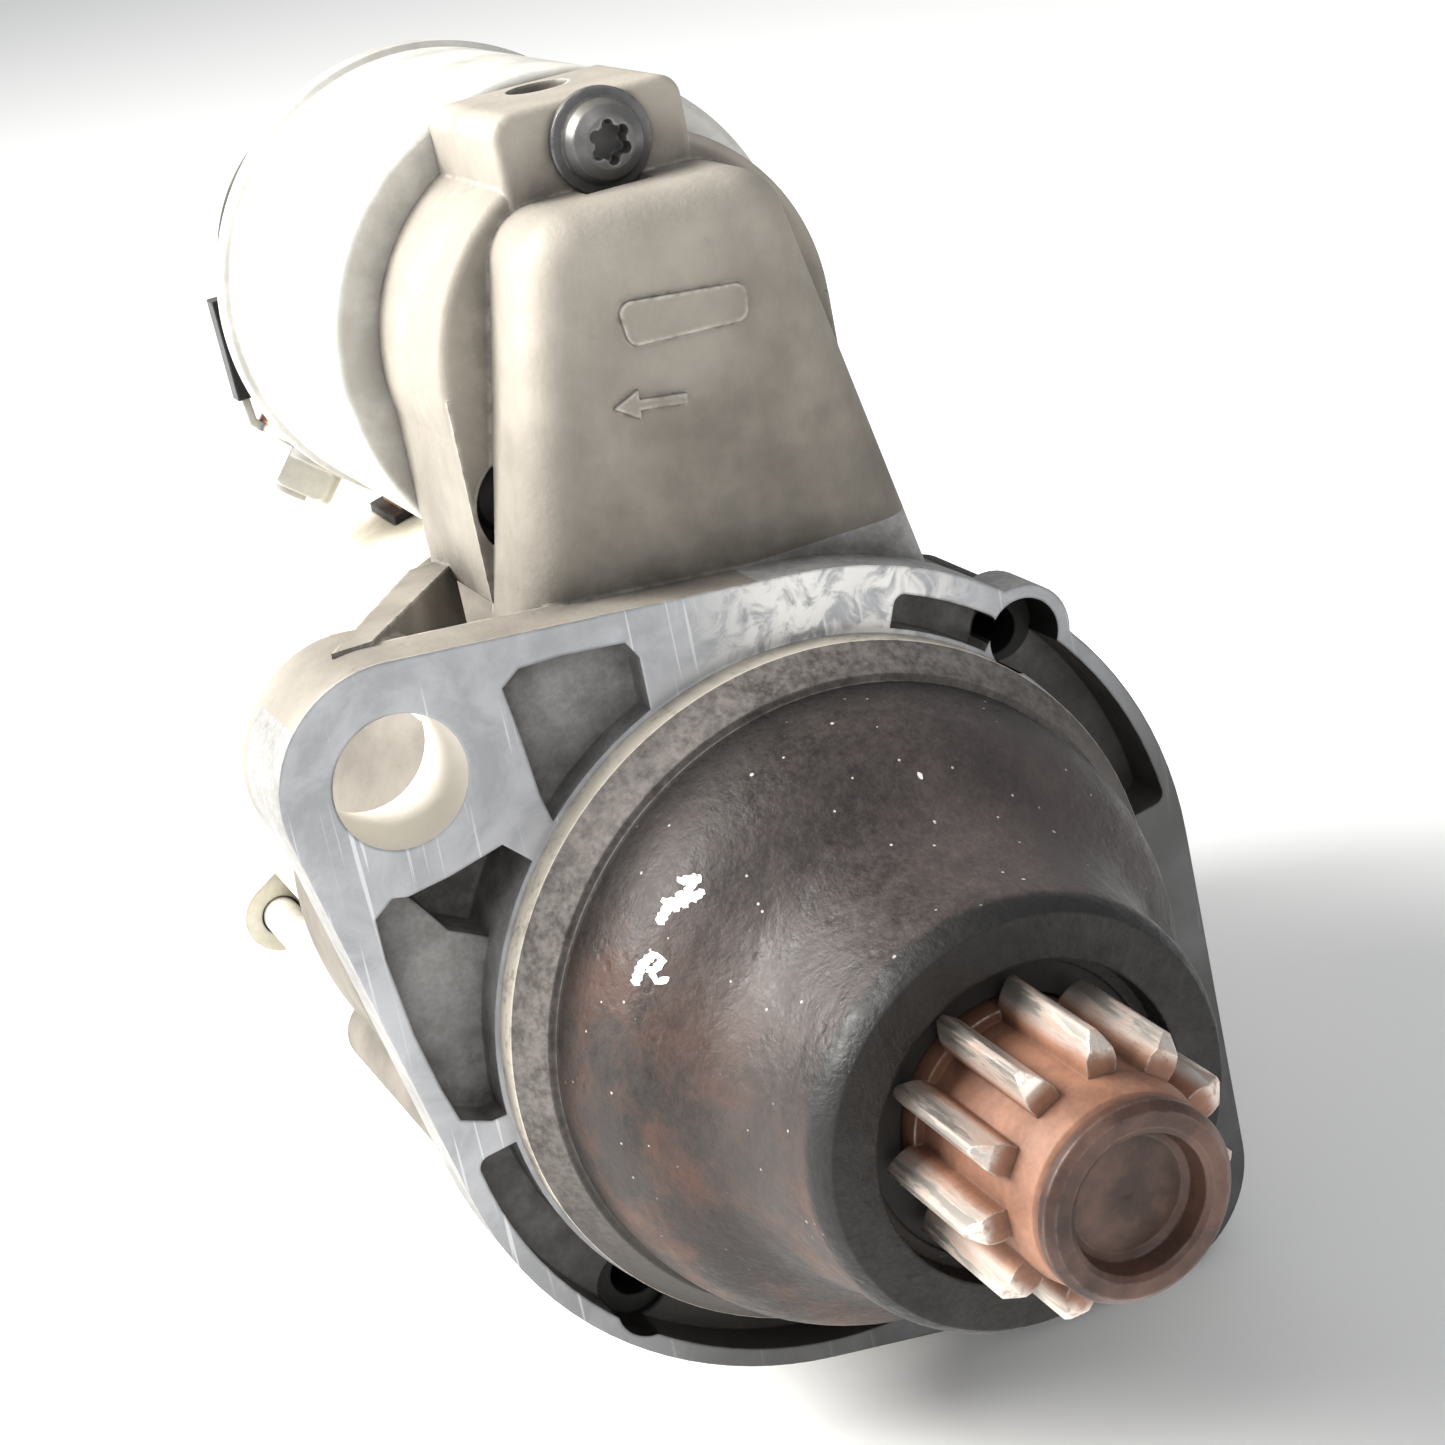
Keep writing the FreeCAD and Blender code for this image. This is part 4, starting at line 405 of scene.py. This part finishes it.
@dataclass(frozen=True)
class CastHousing(Finish):
    """Drive housing: sandy casting, scratched mounting face, painted shade on the rim and the lower face,
    painted light towards the upper left, and a nose baked dark with grime.

    Every zone is found from Object coordinates: y along the pinion axis and r from it.
    """

    # body, band and nose: dark and light tones that painted light ramps mix, lit towards the upper left
    body: Tone = Tone((0.13, 0.115, 0.095), (0.44, 0.40, 0.345), 0.66, 0.1)
    face: Tone = Tone((0.20, 0.205, 0.215), (0.60, 0.61, 0.64), 0.42, 0.55)
    pocket: Tone = Tone((0.19, 0.185, 0.18), (0.40, 0.395, 0.39), 0.68, 0.15)
    band: Tone = Tone((0.030, 0.024, 0.020), (0.26, 0.235, 0.22), 0.6, 0.25)
    nose: Tone = Tone((0.010, 0.007, 0.006), (0.085, 0.066, 0.062), 0.55, 0.05)
    rust: Colour = (0.11, 0.050, 0.030)
    # near-black used as painted shade on the neck's front face, in the groove and in the cored holes
    shade_black: Colour = (0.007, 0.006, 0.0055)
    oxide: Colour = (0.78, 0.77, 0.75)
    # cream: worn edges, brighter on the lit side as a painted highlight, and painted light in the bolt holes
    cream: Colour = (0.80, 0.76, 0.68)
    bright: Colour = (0.72, 0.66, 0.56)
    spigot_r: float = 0.0365
    nose_r: float = 0.0331
    lip_y: float = -0.0385
    ears: tuple[tuple[float, float], ...] = ((-0.03934, 0.03567), (0.03286, -0.03848))
    ear_r: float = 0.0069
    cored: tuple[tuple[float, float], ...] = ((0.0280, 0.0290), (-0.02667, -0.02762))
    cored_r: float = 0.0042
    recess_y: float = 0.0112
    recess_z: float = 0.0436

    def build(self, effects: Effects) -> bpy.types.Material:
        """Make the material from its zones, front to back."""
        material, graph = self.start()
        where = graph.place()
        x, y, z = graph.split(where)
        r = graph.reach(x, z)
        sand = graph.use(effects.sand, {"Scale": self.scale})
        mottle = graph.remap(sand.outputs["Mottle"], 0.30, 0.70)
        cloud = graph.noise(where, 42.0, 5.0, 0.62, 0.4)
        fine = graph.remap(sand.outputs["Grain"], 0.34, 0.66)
        wear = graph.use(effects.wear, {"Radius": self.round_edge * 1.6, "Amount": self.wear}).outputs["Mask"]
        dirt_and_shade = graph.use(effects.dirt_and_shade, {"Amount": self.grime_and_shade_amount, "Distance": 0.008}).outputs["Mask"]
        specks = graph.use(effects.specks, {"Amount": 0.9}).outputs["Mask"]
        level = graph.math("ABSOLUTE", y)
        front = graph.under(y, -NEAR_PLANE)
        face = graph.under(level, NEAR_PLANE)
        behind = graph.above(y, NEAR_PLANE)
        # casting behind the flange: painted light and shade, lighter towards the top and the left, with cream
        # edge wear made brighter on the lit side as a painted highlight
        slope = graph.lean(z, x, 0.55)
        height = graph.math("ADD", slope, graph.math("MULTIPLY", graph.math("SUBTRACT", cloud, 0.5), 0.045))
        lit = graph.remap(height, 0.036, 0.092)
        shade = graph.blend(0.30, lit, mottle)
        colour = graph.mix(shade, self.body.dark, self.body.light)
        colour = graph.mix(graph.both(wear, graph.remap(height, 0.03, 0.08, 0.15, 1.0)), colour, self.cream)
        # recesses of the flange, the rim's outside and the ear holes, with painted shade darkening the rim
        # towards the lower right
        low = graph.both(behind, graph.under(y, self.recess_y), graph.under(z, self.recess_z))
        rim = graph.mix(graph.blend(0.45, mottle, fine), self.pocket.dark, self.pocket.light)
        shade_ramp = graph.remap(graph.lean(z, x, 0.7), -0.028, 0.028, 0.90, 0.0)
        rim = graph.mix(shade_ramp, rim, (0.030, 0.029, 0.027))
        colour = graph.mix(low, colour, rim)
        # mounting face: blue-grey, scratched, with white oxide near the top and painted shade darkening it
        # lower down
        scratch = graph.use(effects.scratch, {"Amount": 0.75}).outputs["Mask"]
        stain = graph.remap(graph.noise(where, 120.0, 5.0, 0.62, 0.6), 0.34, 0.66)
        metal = graph.mix(graph.blend(0.6, stain, cloud), self.face.dark, self.face.light)
        metal = graph.mix(scratch, metal, (0.70, 0.71, 0.73))
        smear_from = graph.reach(x, z, 0.008, 0.0385)
        smear = graph.both(graph.remap(smear_from, 0.006, 0.020, 1.0, 0.0),
                           graph.remap(graph.noise(where, 260.0, 4.0, 0.65, 1.0), 0.36, 0.56))
        metal = graph.mix(smear, metal, self.oxide)
        # painted shade: the face darkens towards the lower right
        painted_lower_shade = graph.math("MULTIPLY", shade_ramp, graph.remap(cloud, 0.25, 0.7, 0.75, 1.0))
        metal = graph.mix(painted_lower_shade, metal, (0.045, 0.044, 0.041))
        colour = graph.mix(face, colour, metal)
        # turned band and grimy nose, both painted lighter towards the upper left with grit specks on the lit
        # side, and the bright land at the band's edge
        grit = graph.blend(0.6, mottle, fine)
        band_light_ramp = graph.remap(graph.lean(z, x, 0.5), -0.03, 0.038)
        band = graph.mix(graph.both(grit, band_light_ramp), self.band.dark, self.band.light)
        # painted light: the nose is lit towards the upper left and shaded towards the lower right
        upper = graph.remap(graph.lean(z, x, 0.35), -0.022, 0.032)
        nose_tone = graph.blend(0.5, graph.remap(cloud, 0.32, 0.68), grit)
        nose_tone = graph.both(nose_tone, graph.remap(upper, 0.0, 1.0, 0.30, 1.0))
        nose = graph.mix(nose_tone, self.nose.dark, self.nose.light)
        left = graph.remap(graph.math("ADD", x, graph.math("MULTIPLY", z, 0.3)), -0.030, -0.012, 1.0, 0.0)
        rusty = graph.both(left, graph.remap(graph.noise(where, 75.0, 4.0, 0.6), 0.42, 0.62))
        nose = graph.mix(graph.math("MULTIPLY", rusty, 0.75), nose, self.rust)
        nose = graph.mix(graph.both(specks, upper), nose, (0.62, 0.58, 0.52))
        # painted shade: the neck's front face and the groove at the dome's base are painted near-black
        waver = graph.math("MULTIPLY", graph.math("SUBTRACT", cloud, 0.5), 0.003)
        collar = graph.remap(graph.math("ADD", y, waver), self.lip_y - 0.0008, self.lip_y + 0.0006, 1.0, 0.0)
        nose = graph.mix(collar, nose, self.shade_black)
        groove = graph.both(graph.remap(y, -0.0135, -0.0075), graph.under(r, self.nose_r))
        nose = graph.mix(graph.math("MULTIPLY", groove, 0.8), nose, self.shade_black)
        ahead = graph.mix(graph.above(r, self.nose_r), nose, band)
        land = graph.both(graph.above(r, self.spigot_r - 0.00006), graph.above(y, -0.0032))
        ahead = graph.mix(graph.both(land, graph.remap(grit, 0.1, 0.5, 0.55, 1.0)), ahead, self.bright)
        colour = graph.mix(front, colour, ahead)
        # grime with painted shade in corners, painted shade in the black cored holes, painted light in the
        # cream bolt holes
        hard = graph.math("MULTIPLY", dirt_and_shade, graph.math("SUBTRACT", 1.0, graph.math("MULTIPLY", face, 0.7)))
        colour = graph.mix(hard, colour, self.grime_and_shade)
        for hole_x, hole_z in self.cored:
            hole = graph.both(behind, graph.under(graph.reach(x, z, hole_x, hole_z), self.cored_r))
            colour = graph.mix(hole, colour, self.shade_black)
        for ear_x, ear_z in self.ears:
            ear = graph.both(behind, graph.under(graph.reach(x, z, ear_x, ear_z), self.ear_r))
            colour = graph.mix(graph.math("MULTIPLY", ear, 0.85), colour, self.cream)
        rough = graph.blend(face, self.body.rough, graph.blend(stain, 0.36, 0.52))
        rough = graph.blend(front, rough, graph.blend(grit, 0.42, 0.68))
        shine = graph.blend(face, self.body.metal, self.face.metal)
        shine = graph.math("MULTIPLY", shine, graph.math("SUBTRACT", 1.0, hard))
        lumps = graph.math("MULTIPLY", graph.noise(where, 330.0, 4.0, 0.6), 0.00030)
        coarse = graph.both(front, graph.under(r, self.nose_r), lumps)
        relief = graph.math("MULTIPLY", sand.outputs["Grain"], graph.blend(face, self.grain, 0.000006))
        relief = graph.math("ADD", relief, coarse)
        relief = graph.math("SUBTRACT", relief, graph.math("MULTIPLY", sand.outputs["Pits"],
                                                           graph.blend(face, 0.00008, 0.0)))
        self.finish(graph, colour, rough, shine, relief)
        return material


@dataclass(frozen=True)
class PinionSteel(Finish):
    """Pinion teeth: rust in the valleys with painted shade, rubbed silver along the crests and the flanks that
    mesh.
    """

    rust: Tone = Tone((0.10, 0.038, 0.020), (0.40, 0.20, 0.125), 0.62)
    silver: Colour = (0.72, 0.66, 0.60)
    stain: Colour = (0.055, 0.022, 0.012)
    crest_r: float = 0.0138
    root_r: float = 0.0102

    def build(self, effects: Effects) -> bpy.types.Material:
        """Make the material; r is the distance from the pinion axis."""
        material, graph = self.start()
        where = graph.place()
        x, _, z = graph.split(where)
        r = graph.reach(x, z)
        sand = graph.use(effects.sand, {"Scale": 1.6})
        wear = graph.use(effects.wear, {"Radius": 0.0004, "Amount": 0.7}).outputs["Mask"]
        dirt_and_shade = graph.use(effects.dirt_and_shade, {"Amount": 0.55, "Distance": 0.003}).outputs["Mask"]
        mottle = graph.remap(sand.outputs["Mottle"], 0.3, 0.7)
        colour = graph.mix(graph.blend(0.5, mottle, sand.outputs["Grain"]), self.rust.dark, self.rust.light)
        streak = graph.noise(graph.stretch(where, (1100.0, 140.0, 1100.0)), 1.0, 3.0, 0.6)
        crest = graph.remap(r, self.root_r + 0.0008, self.crest_r - 0.0008)
        rubbed = graph.both(crest, graph.remap(streak, 0.34, 0.56, 0.35, 1.0))
        rubbed = graph.math("MAXIMUM", rubbed, graph.both(wear, graph.above(r, self.root_r)), clamp=True)
        colour = graph.mix(rubbed, colour, self.silver)
        # stain with painted shade in the valleys, from the ambient-occlusion mask
        valley = graph.both(dirt_and_shade, graph.remap(r, self.root_r, self.crest_r, 1.0, 0.2))
        colour = graph.mix(valley, colour, self.stain)
        rough = graph.blend(rubbed, 0.62, 0.3)
        height = graph.math("MULTIPLY", sand.outputs["Grain"], graph.blend(rubbed, 0.00006, 0.00001))
        self.finish(graph, colour, rough, graph.math("MULTIPLY", rubbed, 0.85), height)
        return material


FINISHES: dict[str, Finish] = {
    "plated_steel": Finish("plated_steel", (0.50, 0.49, 0.45), (0.80, 0.79, 0.75), 0.45, (0.36, 0.5), 0.000006,
                           1.0, (0.85, 0.85, 0.82), 0.5, dust_and_top_light=(0.80, 0.77, 0.68), dust_and_top_light_amount=0.45),
    "painted_steel": Finish("painted_steel", (0.50, 0.455, 0.34), (0.86, 0.83, 0.73), 0.0, (0.42, 0.6), 0.00002,
                            1.0, (0.45, 0.43, 0.40), 0.45, grime_and_shade=(0.10, 0.085, 0.055), dust_and_top_light=(0.88, 0.85, 0.74),
                            dust_and_top_light_amount=0.45),
    "hardened_steel": PinionSteel("hardened_steel", (0.1, 0.04, 0.02), (0.4, 0.2, 0.12), round_edge=0.00035),
    "cap_steel": Finish("cap_steel", (0.030, 0.013, 0.009), (0.120, 0.058, 0.040), 0.15, (0.36, 0.52), 0.00002,
                        1.4, (0.30, 0.22, 0.18), 0.55, dust_and_top_light_amount=0.0),
    "ground_steel": Finish("ground_steel", (0.42, 0.42, 0.43), (0.62, 0.62, 0.63), 1.0, (0.2, 0.3), 0.000004),
    "dark_steel": Finish("dark_steel", (0.10, 0.10, 0.105), (0.20, 0.195, 0.19), 0.8, (0.35, 0.5), 0.00001),
    "spring_steel": Finish("spring_steel", (0.3, 0.3, 0.32), (0.5, 0.5, 0.52), 1.0, (0.25, 0.35), 0.000004),
    "bronze": Finish("bronze", (0.35, 0.20, 0.08), (0.52, 0.33, 0.15), 0.9, (0.35, 0.5), 0.00001),
    "brass": Finish("brass", (0.50, 0.34, 0.12), (0.68, 0.50, 0.22), 1.0, (0.22, 0.35), 0.000005),
    "copper": Finish("copper", (0.45, 0.20, 0.11), (0.70, 0.36, 0.22), 1.0, (0.25, 0.4), 0.000006),
    "enamelled_copper": Finish("enamelled_copper", (0.24, 0.07, 0.03), (0.38, 0.13, 0.06), 0.3, (0.2, 0.3),
                               0.00001, coat=0.5),
    "carbon": Finish("carbon", (0.02, 0.02, 0.022), (0.06, 0.055, 0.055), 0.2, (0.5, 0.7), 0.00001),
    "ferrite": Finish("ferrite", (0.025, 0.025, 0.028), (0.06, 0.06, 0.06), 0.1, (0.5, 0.7), 0.00002),
    "nylon": Finish("nylon", (0.42, 0.38, 0.28), (0.58, 0.54, 0.42), 0.0, (0.35, 0.5), 0.00001),
    "phenolic": Finish("phenolic", (0.012, 0.011, 0.010), (0.04, 0.036, 0.032), 0.0, (0.32, 0.5), 0.00002,
                       worn=(0.12, 0.11, 0.10)),
    "rubber": Finish("rubber", (0.010, 0.010, 0.010), (0.03, 0.03, 0.03), 0.0, (0.5, 0.7), 0.00002,
                     worn=(0.06, 0.06, 0.06)),
    "sleeving": Finish("sleeving", (0.008, 0.008, 0.010), (0.025, 0.025, 0.028), 0.0, (0.3, 0.45), 0.00001,
                       worn=(0.06, 0.06, 0.06)),
    "cast_alloy": CastHousing("cast_alloy", (0.17, 0.15, 0.125), (0.36, 0.33, 0.285), 0.1, (0.5, 0.68), 0.00012,
                              1.0, wear=0.8, round_edge=0.0005, grime_and_shade=(0.018, 0.015, 0.012), grime_and_shade_amount=0.75),
}


@dataclass
class Dressing:
    """Puts a finish on every node of the frame."""

    effects: Effects

    def dress(self) -> None:
        """Give each node the finish of its material slot."""
        made: dict[str, bpy.types.Material] = {}
        for row in frame["record"]["subparts"]:
            slot = row["material_slot"]
            if slot not in made:
                made[slot] = FINISHES[slot].build(self.effects)
            node = frame["nodes"][row["node"]]
            node.data.materials.clear()
            node.data.materials.append(made[slot])
            LOG.info("%s: %s", row["node"], slot)


# marker strokes on the nose, as (x, z) corners in millimetres
STROKES: tuple[Stroke, ...] = (
    ((-23.0, 20.5), (-21.4, 22.2)),
    ((-21.5, 21.5), (-20.1, 23.1)),
    ((-20.7, 21.8), (-19.3, 23.5), (-18.2, 24.2)),
    ((-19.9, 22.3), (-18.5, 23.1)),
    ((-20.1, 23.7), (-18.3, 24.1)),
    ((-22.0, 22.2), (-19.9, 22.4)),
    ((-26.6, 15.5), (-25.5, 17.2), (-24.3, 18.2), (-23.8, 17.8), (-24.6, 17.0), (-25.4, 16.7)),
    ((-25.1, 16.8), (-24.9, 15.8), (-23.9, 16.3)),
    ((4.0, 27.4), (4.5, 27.5)),
)


@dataclass
class PaintMarks:
    """Marker strokes and one dab on the nose: thin ribbons that lie on the casting.

    Strokes are (x, z) points in millimetres; each is dropped along +Y on to the casting.
    """

    effects: Effects
    width: float = 0.55
    lift: float = 0.05
    step: float = 0.25
    strokes: tuple[Stroke, ...] = STROKES
    colour: Colour = (0.86, 0.86, 0.84)

    def surface(self) -> BVHTree:
        """Search tree of the casting's mesh."""
        mesh = frame["nodes"]["drive_housing"].data
        places = np.empty(len(mesh.vertices) * 3)
        mesh.vertices.foreach_get("co", places)
        faces = [tuple(face.vertices) for face in mesh.polygons]
        return BVHTree.FromPolygons(places.reshape(-1, 3).tolist(), faces)

    def ribbon(self, stroke: Stroke) -> np.ndarray:
        """Left, middle and right points along one stroke.

        The middle line m(t) is the stroke's corners joined straight; the sides are m(t) plus and minus
        w(t) times the normal of the line, where w(t) narrows as a half circle at both ends and
        wavers by a fifth between them.
        """
        line = np.array(stroke)
        steps = np.hypot(*np.diff(line, axis=0).T)
        along = np.concatenate([[0.0], np.cumsum(steps)])
        count = max(8, int(along[-1] / self.step))
        t = np.linspace(0.0, along[-1], count)
        middle = np.stack([np.interp(t, along, line[:, 0]), np.interp(t, along, line[:, 1])], axis=1)
        slope = np.gradient(middle, axis=0)
        slope /= np.linalg.norm(slope, axis=1, keepdims=True)
        normal = np.stack([-slope[:, 1], slope[:, 0]], axis=1)
        end = np.minimum(t, along[-1] - t) / (self.width / 2)
        rounded = np.sqrt(np.clip(1 - (1 - np.clip(end, 0, 1)) ** 2, 0.02, 1))
        half = self.width / 2 * rounded * (1 + 0.2 * np.sin(9 * t))
        return np.stack([middle - normal * half[:, None], middle, middle + normal * half[:, None]], axis=1)

    def build(self) -> bpy.types.Object:
        """Lay every ribbon on the casting and join them.

        Returns:
            The joined strokes.
        """
        tree = self.surface()
        points: list[list[float]] = []
        quads: list[tuple[int, int, int, int]] = []
        for stroke in self.strokes:
            strip = self.ribbon(stroke)
            rows, columns = strip.shape[:2]
            base = len(points)
            for column_x, column_z in strip.reshape(-1, 2) * MM:
                spot, normal = tree.ray_cast(Vector((column_x, -0.1, column_z)), Vector((0.0, 1.0, 0.0)))[:2]
                points.append(list(spot + normal * self.lift * MM))
            index = np.arange(rows * columns).reshape(rows, columns) + base
            around = [index[:-1, :-1], index[:-1, 1:], index[1:, 1:], index[1:, :-1]]
            quads += np.stack(around, -1).reshape(-1, 4).tolist()
        mesh = bpy.data.meshes.new("nose_paint_marks")
        mesh.from_pydata(points, [], quads)
        piece = bpy.data.objects.new("nose_paint_marks", mesh)
        bpy.context.scene.collection.objects.link(piece)
        coat = Finish("marker_paint", (0.62, 0.62, 0.60), self.colour, 0.0, (0.35, 0.5), 0.00003, 2.0,
                      grime_and_shade_amount=0.0, dust_and_top_light_amount=0.0, round_edge=0.00002).build(self.effects)
        mesh.materials.append(coat)
        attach(piece, "housing")
        LOG.info("nose_paint_marks: %d strokes", len(self.strokes))
        return piece


@dataclass
class Studio:
    """Floor, lights and camera."""

    floor_drop: float = 0.0005
    floor_half: float = 6.0
    lens: float = 74.43
    eye: tuple[float, float, float] = (-0.1033, -0.2589, 0.1340)
    right: tuple[float, float, float] = (0.8931, -0.4091, -0.1872)
    down: tuple[float, float, float] = (-0.3073, -0.2509, -0.9179)
    ahead: tuple[float, float, float] = (0.3285, 0.8773, -0.3498)

    def floor(self, low: float) -> None:
        """Pale floor just under the object's lowest point."""
        half = self.floor_half
        corners = np.array([(-half, -half), (half, -half), (half, half), (-half, half)])
        points = np.column_stack([corners, np.full(4, low - self.floor_drop)])
        mesh = bpy.data.meshes.new("floor")
        mesh.from_pydata(points.tolist(), [], [(0, 1, 2, 3)])
        piece = bpy.data.objects.new("floor", mesh)
        bpy.context.scene.collection.objects.link(piece)
        material = bpy.data.materials.new("floor_paint")
        material.use_nodes = True
        shader = material.node_tree.nodes["Principled BSDF"]
        shader.inputs["Base Color"].default_value = rgba((0.93, 0.93, 0.92))
        shader.inputs["Roughness"].default_value = 0.9
        mesh.materials.append(material)
        piece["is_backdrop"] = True

    def light(self, name: str, place: tuple[float, float, float], aim: tuple[float, float, float],
              size: float, power: float, colour: Colour) -> None:
        """Square soft light that looks at a point."""
        lamp = bpy.data.lights.new(name, "AREA")
        lamp.shape = "SQUARE"
        lamp.size = size
        lamp.energy = power
        lamp.color = colour
        piece = bpy.data.objects.new(name, lamp)
        piece.location = place
        piece.rotation_mode = "QUATERNION"
        piece.rotation_quaternion = (Vector(aim) - Vector(place)).to_track_quat("-Z", "Y")
        bpy.context.scene.collection.objects.link(piece)

    def lights(self) -> None:
        """Strong soft light from behind on the left, weak fill in front."""
        self.light("sky_left", (-0.95, 0.35, 0.85), (0.0, 0.05, 0.03), 0.7, 42.0, (1.0, 0.985, 0.95))
        self.light("sky_front", (-0.2, -1.3, 1.0), (0.0, 0.0, 0.0), 1.2, 7.0, (1.0, 0.98, 0.96))
        world = bpy.data.worlds.new("room")
        world.use_nodes = True
        world.node_tree.nodes["Background"].inputs["Color"].default_value = rgba((0.95, 0.97, 1.0))
        world.node_tree.nodes["Background"].inputs["Strength"].default_value = 0.5
        bpy.context.scene.world = world
        bpy.context.scene.view_settings.view_transform = "Standard"

    def camera(self) -> None:
        """Camera in front, to the left and above."""
        data = bpy.data.cameras.new("camera")
        data.sensor_width = 36.0
        data.lens = self.lens
        data.clip_start, data.clip_end = 0.01, 50.0
        piece = bpy.data.objects.new("camera", data)
        right, up, back = Vector(self.right), -Vector(self.down), -Vector(self.ahead)
        turn = Matrix((right, up, back)).transposed()
        piece.matrix_world = Matrix.Translation(Vector(self.eye)) @ turn.to_4x4()
        bpy.context.scene.collection.objects.link(piece)
        bpy.context.scene.camera = piece


def corners(bounds: tuple[Vector, Vector]) -> list[list[float]]:
    """Bounds as plain lists."""
    return [list(bounds[0]), list(bounds[1])]


def main() -> None:
    """Build everything in order, reading the object's bounds first to place the floor."""
    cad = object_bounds()
    effects = Effects()
    Dressing(effects).dress()
    PaintMarks(effects).build()
    studio = Studio()
    studio.floor(cad[0].z)
    studio.lights()
    studio.camera()


if __name__ == "__main__":
    main()
